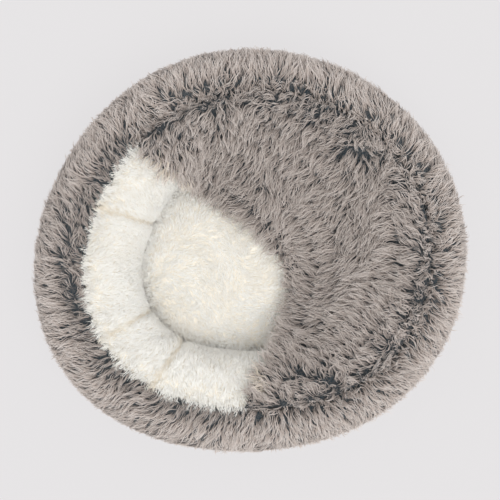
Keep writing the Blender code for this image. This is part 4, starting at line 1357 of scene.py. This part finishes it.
class BED_OT_ring_cover(bpy.types.Operator):
    """Makes the ring's outer cover: its knitted backing, and the long grey pile on it"""

    bl_idname = "bed.ring_cover"
    bl_label = "Ring cover"

    def execute(self, context):
        size, pile = context.scene.bed_sizes, context.scene.bed_shag
        whole = cover_grid(size, pile.side_depth, pile.root_depth, *COVER_ROWS, STATIONS)
        pinned = pinned_rows(whole, [0, -1])
        whole = settle(whole, True, pinned, pressure=3.0, growth=0.02, cap=0.003)
        cloth = skin("ring_cover_cloth", two_faces(whole, *COVER_FACES))
        dark, pale = scaled(pile.root, 0.7), scaled(pile.middle, 0.6)
        finish_piece(cloth, knit_finish("grey pile backing", dark, pale, painted_light_below=0.16))
        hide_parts("outer_ring_cover")
        shag = shag_finish(pile)
        widest = COVER_ROWS[0]
        above = finer(whole[: widest + 1], True, FINE_COVER_ROWS[0], FINE_STATIONS)
        below = finer(whole[widest - 1 :], True, FINE_COVER_ROWS[1], FINE_STATIONS)
        self.upper(pile, Roots(above, True, pile.ring_locks, seed=1), shag)
        self.lower(pile, Roots(below, True, pile.rim_locks, seed=2, density=self.foot_share), shag)
        return {"FINISHED"}

    def foot_share(self, points):
        """Locks grow up to three times as close towards the foot, and none right over the band."""
        near_foot = smooth_step((CROWDED_BELOW - points[..., 2]) / CROWDING_FADE)
        return np.where(radius_of(points) > LOCKS_FROM, 1 + 2 * near_foot, 0.0)

    def upper(self, pile, roots, shag):
        """Locks from the crest to the widest line, combed outward from the seam and round with the turn.

        The comb's heading is a cosine of the turn, less at the very front. Some locks fall back over
        the seam. Beside the white plush they are instead shorter, more upright and darker: their dark
        roots show, and the darkness is also painted shade in the seam's groove. Elsewhere they lie flatter
        away from the crest, shorter towards the rim and flatter in front. They are paler in front, painted
        light as from the lamp there, and paler near the crest, painted light against the shade between
        the upright locks. Those of the upper coat are longer and paler, and those in a parting darker,
        which is painted shade.
        """
        turn, row = roots.turn, roots.row
        swing = 0.5 * np.cos(turn - COMB_TURN) - 0.1
        heading = swing * (1 - 0.8 * smooth_step((-np.sin(turn) - 0.8) / 0.15))
        heading += waves_of(roots.point, RING_WAVES)
        heading, close = part_away(roots, heading, RING_PARTINGS, RING_PARTING_REACH, seed=34)
        beside_plush = smooth_step((np.cos(turn - PLUSH_TURN) - 0.38) / 0.06)
        heading = heading + math.pi * some(0.35 * bell(row, 0.1) * (1 - beside_plush), seed=31)
        bared_in_shade = beside_plush * bell(row, 0.115 - 0.03 * np.cos(turn))
        heading = heading + 0.5 * bared_in_shade * wander(roots.point, 0.012, 35)
        rim = smooth_step((row - 0.08) / 0.6)
        lying = smooth_step(row / 0.4)
        front = smooth_step(0.2 - np.sin(turn - 0.3))
        over = coats(len(heading), seed=38)
        scale = (1 - 0.36 * rim) * (1 + (0.42 - 0.2 * rim) * over) * (1 - 0.2 * bared_in_shade)
        foot_lean = 32 + (22 + 14 * front) * lying + 20 * rim - 12 * bared_in_shade - 12 * over
        lean = (foot_lean, 82 + 8 * lying + 8 * rim - 34 * bared_in_shade)
        drawn = {"gather": 0.7 - 0.12 * lying, "bunch": (7, 0.34 - 0.06 * lying - 0.06 * rim)}
        lines = grow(roots, pile, heading, scale, lean, seed=5, **drawn)
        # Painted light and shade: paler in front and near the crest, darker in the partings and beside the
        # plush.
        tone = 0.56 + 0.18 * front + 0.34 * (1 - lying) + 0.2 * over + 0.1 * wander(roots.point, 0.03, 6)
        tone = tone - 0.32 * close - (0.95 + 0.2 * front) * bared_in_shade
        dress_with_pile("ring_shag", roots, lines, pile, tone, shag, seed=7, parts=5, **RING_COAT)

    def lower(self, pile, roots, shag):
        """Locks from the widest line to the foot, hanging down: in front of the band, but not of the zip.

        Their lean falls off and they darken on the way to the foot: painted shade under the ring's bulge.
        A strand that would reach too low shrinks towards its root, and low ones are moved out in front
        of the band.
        """
        under = smooth_step(roots.row)
        lean = (70 - 34 * under, 98 - 50 * under)
        heading = waves_of(roots.point, RIM_WAVES)
        scale = 0.66 - 0.08 * under
        lines = grow(roots, pile, heading, scale, lean, seed=9, gather=0.4, bunch=(7, 0.15))
        root, height = lines[..., :1, :], lines[..., 2]
        aside = np.abs(turn_of(lines) - ZIP_TURN)
        over_zip = smooth_step((ZIP_HALF_TURN - aside) / ZIP_FADE) * (radius_of(lines) < ZIP_REACH)
        drop = root[..., 2] - (FRINGE_HEIGHT + FRINGE_LIFT * over_zip)
        room = drop / np.maximum(root[..., 2] - height, 1e-4)
        lines = root + (lines - root) * np.clip(room.min(-1), 0.1, 1)[..., None, None]
        outward = np.maximum(BAND_COVER_RADIUS / radius_of(lines), 1)
        lines[..., :2] *= np.where(lines[..., 2] < BAND_COVER_HEIGHT, outward, 1)[..., None]
        # Painted shade: darker towards the foot, under the ring's bulge.
        tone = 0.64 + 0.1 * wander(roots.point, 0.03, 10) - 0.2 * under
        dress_with_pile("rim_shag", roots, lines, pile, tone, shag, seed=11, parts=2, **RING_COAT)


class BED_OT_wall_lining(bpy.types.Operator):
    """Makes the nest's wall lining: its backing, and the white plush where it shows"""

    bl_idname = "bed.wall_lining"
    bl_label = "Wall lining"

    def execute(self, context):
        size, pile = context.scene.bed_sizes, context.scene.bed_plush
        whole = wall_grid(size, pile.root_depth, WALL_ROWS, STATIONS)
        sewn = crease_depth(size, turns(STATIONS), math.pi / 2) > CREASE_PINNED
        pinned = pinned_rows(whole, [0, -2, -1]) | sewn | under_hood(size, whole, 0.0)
        whole = settle(whole, True, pinned, pressure=4.0, growth=0.04, cap=0.006)
        cloth = skin("wall_lining_cloth", two_faces(whole, *WALL_FACES))
        finish_piece(cloth, knit_finish("white plush backing", pile.shade, pile.light))
        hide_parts("inner_wall_lining")

        def shows(points):
            """1 where the hood leaves the wall free, else 0."""
            return np.where(under_hood(size, points, HOOD_MARGIN), 0.0, 1.0)

        grid = finer(whole, True, FINE_WALL_ROWS, FINE_STATIONS)
        roots = Roots(grid, True, pile.wall_locks, seed=12, density=shows)
        near_seam = bell(roots.row, 0.1)
        heading = waves_of(roots.point, WALL_WAVES) + math.pi * some(0.85 * near_seam, seed=32)
        lean = (56 - 20 * near_seam, 88 - 12 * near_seam)
        crease = crease_depth(size, roots.turn, math.pi / 2) / CREASE_DRAW
        # Painted shade: the plush darkens in the creases.
        tone = 0.9 + 0.08 * wander(roots.point, 0.03, 16) - 0.85 * crease**6
        grow_plush("wall_plush", roots, pile, (15, 17), heading, 1 + 0.7 * near_seam, lean, tone)
        return {"FINISHED"}


class BED_OT_nest_floor(bpy.types.Operator):
    """Makes the nest floor: a crowned cushion top with white plush where it shows"""

    bl_idname = "bed.nest_floor"
    bl_label = "Nest floor"

    def execute(self, context):
        size, pile = context.scene.bed_sizes, context.scene.bed_plush
        whole = floor_grid(size, pile.root_depth, *FLOOR_SHAPE)
        pinned = pinned_rows(whole, 0) | under_hood(size, whole, 0.0)
        whole = settle(whole, True, pinned, pressure=3.0, growth=0.03, cap=0.007)
        top = whole - np.array([0, 0, CLOTH_GAP])
        low = floor_grid(size, FLOOR_UNDERSIDE, *FLOOR_SHAPE)
        low[..., 2] = np.minimum(low[..., 2], top[..., 2] - CLOTH_GAP)
        poles = [(0, 0, face[-1, :, 2].mean()) for face in (top, low)]
        cloth = skin("nest_floor_cushion", np.concatenate([top[::-1], low]), poles=poles)
        finish_piece(cloth, knit_finish("white floor backing", pile.shade, pile.light))
        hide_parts("nest_floor_panel")

        def shows(points):
            """0 under the hood, else 1 plus a smooth step of the share of the nest's radius."""
            reach = radius_of(points) / nest_radius(size, turn_of(points))
            crowding = 1 + 1.5 * smooth_step((reach - RIM_CROWDED) / RIM_CROWDING_FADE)
            return np.where(under_hood(size, points, HOOD_MARGIN), 0.0, crowding)

        grid = finer(whole, True, *FINE_FLOOR_SHAPE)
        roots = Roots(grid, True, pile.floor_locks, seed=18, density=shows)
        heading = waves_of(roots.point, FLOOR_WAVES)
        rim = bell(roots.row, 0.09)
        heading = np.where(some(rim, seed=37), math.pi + 0.4 * heading, heading)
        lean = (56 - 34 * rim, 88 - 30 * rim)
        tone = 0.85 + 0.1 * wander(roots.point, 0.03, 22)
        grow_plush("floor_plush", roots, pile, (21, 23), heading, 1 + 0.45 * rim, lean, tone)
        return {"FINISHED"}


class BED_OT_hood(bpy.types.Operator):
    """Makes the hood blanket: its white lining, its knitted backing, and the long grey pile on it"""

    bl_idname = "bed.hood"
    bl_label = "Hood blanket"

    def execute(self, context):
        size, pile, white = context.scene.bed_sizes, context.scene.bed_shag, context.scene.bed_plush
        bed = hood_grid(size, *HOOD_SHAPE)
        pinned = pinned_rows(bed, [0, 1, -1])
        pinned[:, [0, 1, -2, -1]] = True
        bed = settle(bed, False, pinned, pressure=2.0, growth=0.03, cap=0.005)
        lining = self.layer("hood_lining", bed, *HOOD_LINING)
        finish_piece(lining, knit_finish("hood lining plush", white.shade, white.light))
        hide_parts("hood_plush_lining")
        cloth = self.layer("hood_blanket", bed, *HOOD_BACKING)
        dark, pale = scaled(pile.root, 0.6), scaled(pile.middle, 0.5)
        finish_piece(cloth, knit_finish("hood backing", dark, pale))
        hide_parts("hood_shag")
        fine = hood_layer(finer(bed, False, *FINE_HOOD_SHAPE), HOOD_ROOTS)
        strands = self.locks(pile, Roots(fine, False, pile.hood_locks, seed=24))
        return {"FINISHED"}

    def layer(self, name, bed, low, high):
        """A sheet between two heights off the hood's underside."""
        return skin(name, shell(hood_layer(bed, high), hood_layer(bed, low)), wrap_columns=False)

    def locks(self, pile, roots):
        """Locks combed down the hood, of which some beside the seam fall back over it.

        They are shorter in a parting and darker there, which is painted shade, and flatter and a little
        paler at the free edge. Beside the seam they are paler: painted light against the seam's shade.
        Those of the upper coat are longer and paler, and some near two lines at the hood's corners are cream.
        """
        row, draws = roots.row, np.random.default_rng(33)
        heading = waves_of(roots.point, HOOD_WAVES)
        heading, close = part_away(roots, heading, HOOD_PARTINGS, HOOD_PARTING_REACH, seed=36)
        near_seam, near_edge = bell(row, 0.05), smooth_step((row - 0.86) / 0.14)
        heading = heading + math.pi * some(0.45 * near_seam, draws)
        over = coats(len(heading), seed=39)
        scale = (1 - 0.2 * close) * (1 + 0.42 * over)
        lean = (32 + 12 * near_edge - 12 * over, 80 + 12 * near_edge)
        lines = grow(roots, pile, heading, scale, lean, seed=27, sway=0.6)
        # Painted shade in the partings, and painted light beside the seam.
        tone = 0.28 + 0.3 * over + 0.12 * wander(roots.point, 0.035, 28) - 0.33 * close
        tone = tone + 0.1 * near_edge + 0.35 * near_seam
        apart = np.min([np.linalg.norm(off_line(roots.point, line), axis=-1) for line in HOOD_CREAM], 0)
        cream = some(0.75 * bell(apart, HOOD_CREAM_REACH), draws)
        coat = {"seed": 29, "parts": 3, "cream": cream, **HOOD_COAT}
        return dress_with_pile("hood_pile", roots, lines, pile, tone, shag_finish(pile), **coat)


class BED_OT_bags(bpy.types.Operator):
    """Makes the bags and the fibre inside the ring and the floor pad"""

    bl_idname = "bed.bags"
    bl_label = "Bags and fibre"

    def execute(self, context):
        size = context.scene.bed_sizes
        cotton = weave_finish("bag cotton", screen(226, 226, 226), 0.0011)
        fibre = fibre_finish("fibre filling", screen(244, 244, 242))
        thick, gap = size.bag_thickness, size.bag_gap
        bag = shell(*(bolster_grid(size, extra, *BAG_SHAPE, gap) for extra in (0, thick)))
        self.piece("ring_bag", bag, cotton, "liner_cloth", "ring_liner")
        filling = bolster_grid(size, thick + 2 * gap, *BAG_SHAPE, 0)[1:-1]
        self.piece("ring_fibre", filling, fibre, "fibre_filling", "ring_filling")
        for name, upper, side in (("top", True, 1), ("bottom", False, -1)):
            apart = np.array([0, 0, side * size.touch_gap / 2])
            faces = [pad_grid(size, extra, *PAD_SHAPE, upper) + apart for extra in (0, thick)]
            node = f"floor_pad_liner_{name}"
            self.piece(f"pad_bag_{name}", shell(*faces), cotton, "liner_cloth", node, self.poles(faces))
        faces = [pad_grid(size, thick + gap, *PAD_SHAPE, upper) for upper in (True, False)]
        filling = shell(faces[0], faces[1][:-1])
        self.piece("pad_fibre", filling, fibre, "fibre_filling", "floor_pad_filling", self.poles(faces))
        return {"FINISHED"}

    def poles(self, faces):
        """The middle of each face, at the height of its first row."""
        return [(0, 0, face[0, 0, 2]) for face in faces]

    def piece(self, name, grid, material, slot, node, poles=None):
        """One bag or filling, in place of its solid."""
        thing = skin(name, grid, poles=poles)
        finish_piece(thing, material)
        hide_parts(node)


class BED_OT_base(bpy.types.Operator):
    """Finishes the base cloth, the band and the stitching"""

    bl_idname = "bed.base"
    bl_label = "Base and stitching"

    def execute(self, context):
        dress_nodes(("base_gusset",), weave_finish("base cloth", screen(58, 58, 62), 0.0009))
        dress_nodes(("base_panel",), dotted_finish("dotted base cloth", screen(58, 58, 62), 0.011))
        dress_nodes(("crest_stitching",), thread_finish("grey thread", (96, 90, 86), (150, 142, 136)))
        dress_nodes(("floor_stitching",), thread_finish("pale thread", (196, 190, 180), (238, 234, 226)))
        return {"FINISHED"}


class BED_OT_zip(bpy.types.Operator):
    """Makes the zip's two coils of teeth, and finishes its tapes, stops, slider and pull tab"""

    bl_idname = "bed.zip"
    bl_label = "Zip"

    def execute(self, context):
        size, nylon = context.scene.bed_sizes, nylon_finish()
        for name, side in (("lower", -1), ("upper", 1)):
            coil = skin(f"zip_teeth_{name}", self.coil(size, side), wrap_columns=False)
            finish_piece(coil, nylon)
            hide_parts(f"zip_coil_{name}")
        tapes = ("zip_tape_lower", "zip_tape_upper")
        dress_nodes(tapes, weave_finish("zip tape", screen(70, 70, 74), 0.0007))
        parts = ("zip_bottom_stop", "zip_top_stop_lower", "zip_top_stop_upper", "zip_slider", "zip_pull_tab")
        dress_nodes(parts, metal_finish())
        return {"FINISHED"}

    def coil(self, size, side):
        """A coil of wire along the band: a helix whose height and depth go by the sine and cosine.

        The wire has four sides, set across the helix's own direction.
        """
        reach = (size.zip_length / 2 - size.zip_margin) / size.base_radius
        loops = int(2 * reach * size.base_radius / size.coil_pitch)
        place = np.linspace(0, 1, loops * LOOP_STEPS + 1)
        turn = size.zip_middle - reach + 2 * reach * place
        phase = math.tau * loops * place
        radius = size.base_radius - size.band_thickness / 2
        radius = radius + (size.coil_depth / 2 - size.coil_wire) * np.cos(phase)
        rise = (size.coil_height / 2 - size.coil_wire) * np.sin(phase)
        height = size.zip_height + side * (size.chain_gap / 2 + size.coil_height / 2 + rise)
        path = at(turn, radius, height)
        run = unit(np.gradient(path, axis=0))
        across = unit(np.cross(run, at(turn, 1.0, 0.0)))
        upright = np.cross(across, run)
        spin = math.tau * np.arange(WIRE_SIDES)[:, None, None] / WIRE_SIDES
        return path + size.coil_wire * (np.cos(spin) * across + np.sin(spin) * upright)


class BED_OT_stage(bpy.types.Operator):
    """Makes the floor, the lamps and the camera"""

    bl_idname = "bed.stage"
    bl_label = "Stage"

    def execute(self, context):
        scene = context.scene
        look = scene.bed_stage
        self.floor(look)
        self.light(look, scene)
        camera = bpy.data.cameras.new("camera")
        camera.sensor_width = SENSOR_WIDTH
        distance = look.camera_height - scene.bed_sizes.widest_height
        camera.lens = camera.sensor_width * distance / look.frame_width
        camera.clip_end = CLIP_END
        holder = put_in_scene("camera", camera)
        holder.location = (*CAMERA_PLACE, look.camera_height)
        scene.camera = holder
        scene.view_settings.view_transform = "Standard"
        return {"FINISHED"}

    def floor(self, look):
        """A wide pale floor that keeps the bed's soft shadow."""
        mesh = bpy.data.meshes.new("floor")
        corners = ((-1, -1), (1, -1), (1, 1), (-1, 1))
        mesh.from_pydata([(x * FLOOR_REACH, y * FLOOR_REACH, 0) for x, y in corners], [], [(0, 1, 2, 3)])
        plane = put_in_scene("floor", mesh)
        recipe = Recipe("pale floor", Roughness=0.9, Specular_IOR_Level=0.0)
        recipe.paint(scaled(look.background, FLOOR_SHADE))
        glow = recipe.node("ShaderNodeEmission", None, {"Color": look.background, "Strength": 1.0})
        seen = recipe.looked_at() * FLOOR_GLOW
        recipe.mixed_shaders(seen, recipe.shader, glow, "Material Output")
        mesh.materials.append(recipe.material)

    def light(self, look, scene):
        """Light from all round, and a wide soft lamp from above the front."""
        world = bpy.data.worlds.new("studio")
        world.use_nodes = True
        nodes = Nodes(world.node_tree)
        around = nodes.tree.nodes["Background"]
        nodes.connect(around.inputs["Color"], (1, 1, 1))
        nodes.connect(around.inputs["Strength"], look.sky_strength)
        backdrop = nodes.node("ShaderNodeBackground", None, {"Color": look.background})
        nodes.mixed_shaders(nodes.looked_at(), around, backdrop, "World Output")
        scene.world = world
        lamp = bpy.data.lights.new("soft lamp", "SUN")
        lamp.energy = look.sun_strength
        lamp.angle = LAMP_SIZE
        put_in_scene("soft lamp", lamp).rotation_euler = LAMP_TILT


class BED_PT_panel(bpy.types.Panel):
    """Lists the bed's operators in the sidebar"""

    bl_label = "Pet bed"
    bl_space_type = "VIEW_3D"
    bl_region_type = "UI"
    bl_category = "Pet bed"

    def draw(self, context):
        """One button for each operator, and the sizes below."""
        for operator in OPERATORS:
            self.layout.operator(operator.bl_idname)
        for group in GROUPS:
            settings = getattr(context.scene, group)
            for name in settings.bl_rna.properties.keys():
                if name not in {"rna_type", "name"}:
                    self.layout.prop(settings, name)


OPERATORS = (
    BED_OT_stage,
    BED_OT_ring_cover,
    BED_OT_wall_lining,
    BED_OT_nest_floor,
    BED_OT_hood,
    BED_OT_bags,
    BED_OT_base,
    BED_OT_zip,
)
GROUPS = {"bed_sizes": BedSizes, "bed_shag": ShagPile, "bed_plush": PlushPile, "bed_stage": StageLook}


def register():
    """Adds the settings, operators and panel."""
    for group in GROUPS.values():
        bpy.utils.register_class(group)
    for name, group in GROUPS.items():
        setattr(bpy.types.Scene, name, PointerProperty(type=group))
    for part in (*OPERATORS, BED_PT_panel):
        bpy.utils.register_class(part)


def unregister():
    """Takes them away again."""
    for part in (BED_PT_panel, *reversed(OPERATORS)):
        bpy.utils.unregister_class(part)
    for name, group in reversed(list(GROUPS.items())):
        delattr(bpy.types.Scene, name)
        bpy.utils.unregister_class(group)


def main():
    register()
    bpy.ops.bed.stage()
    bpy.ops.bed.ring_cover()
    bpy.ops.bed.wall_lining()
    bpy.ops.bed.nest_floor()
    bpy.ops.bed.hood()
    bpy.ops.bed.bags()
    bpy.ops.bed.base()
    bpy.ops.bed.zip()


if __name__ == "__main__":
    main()
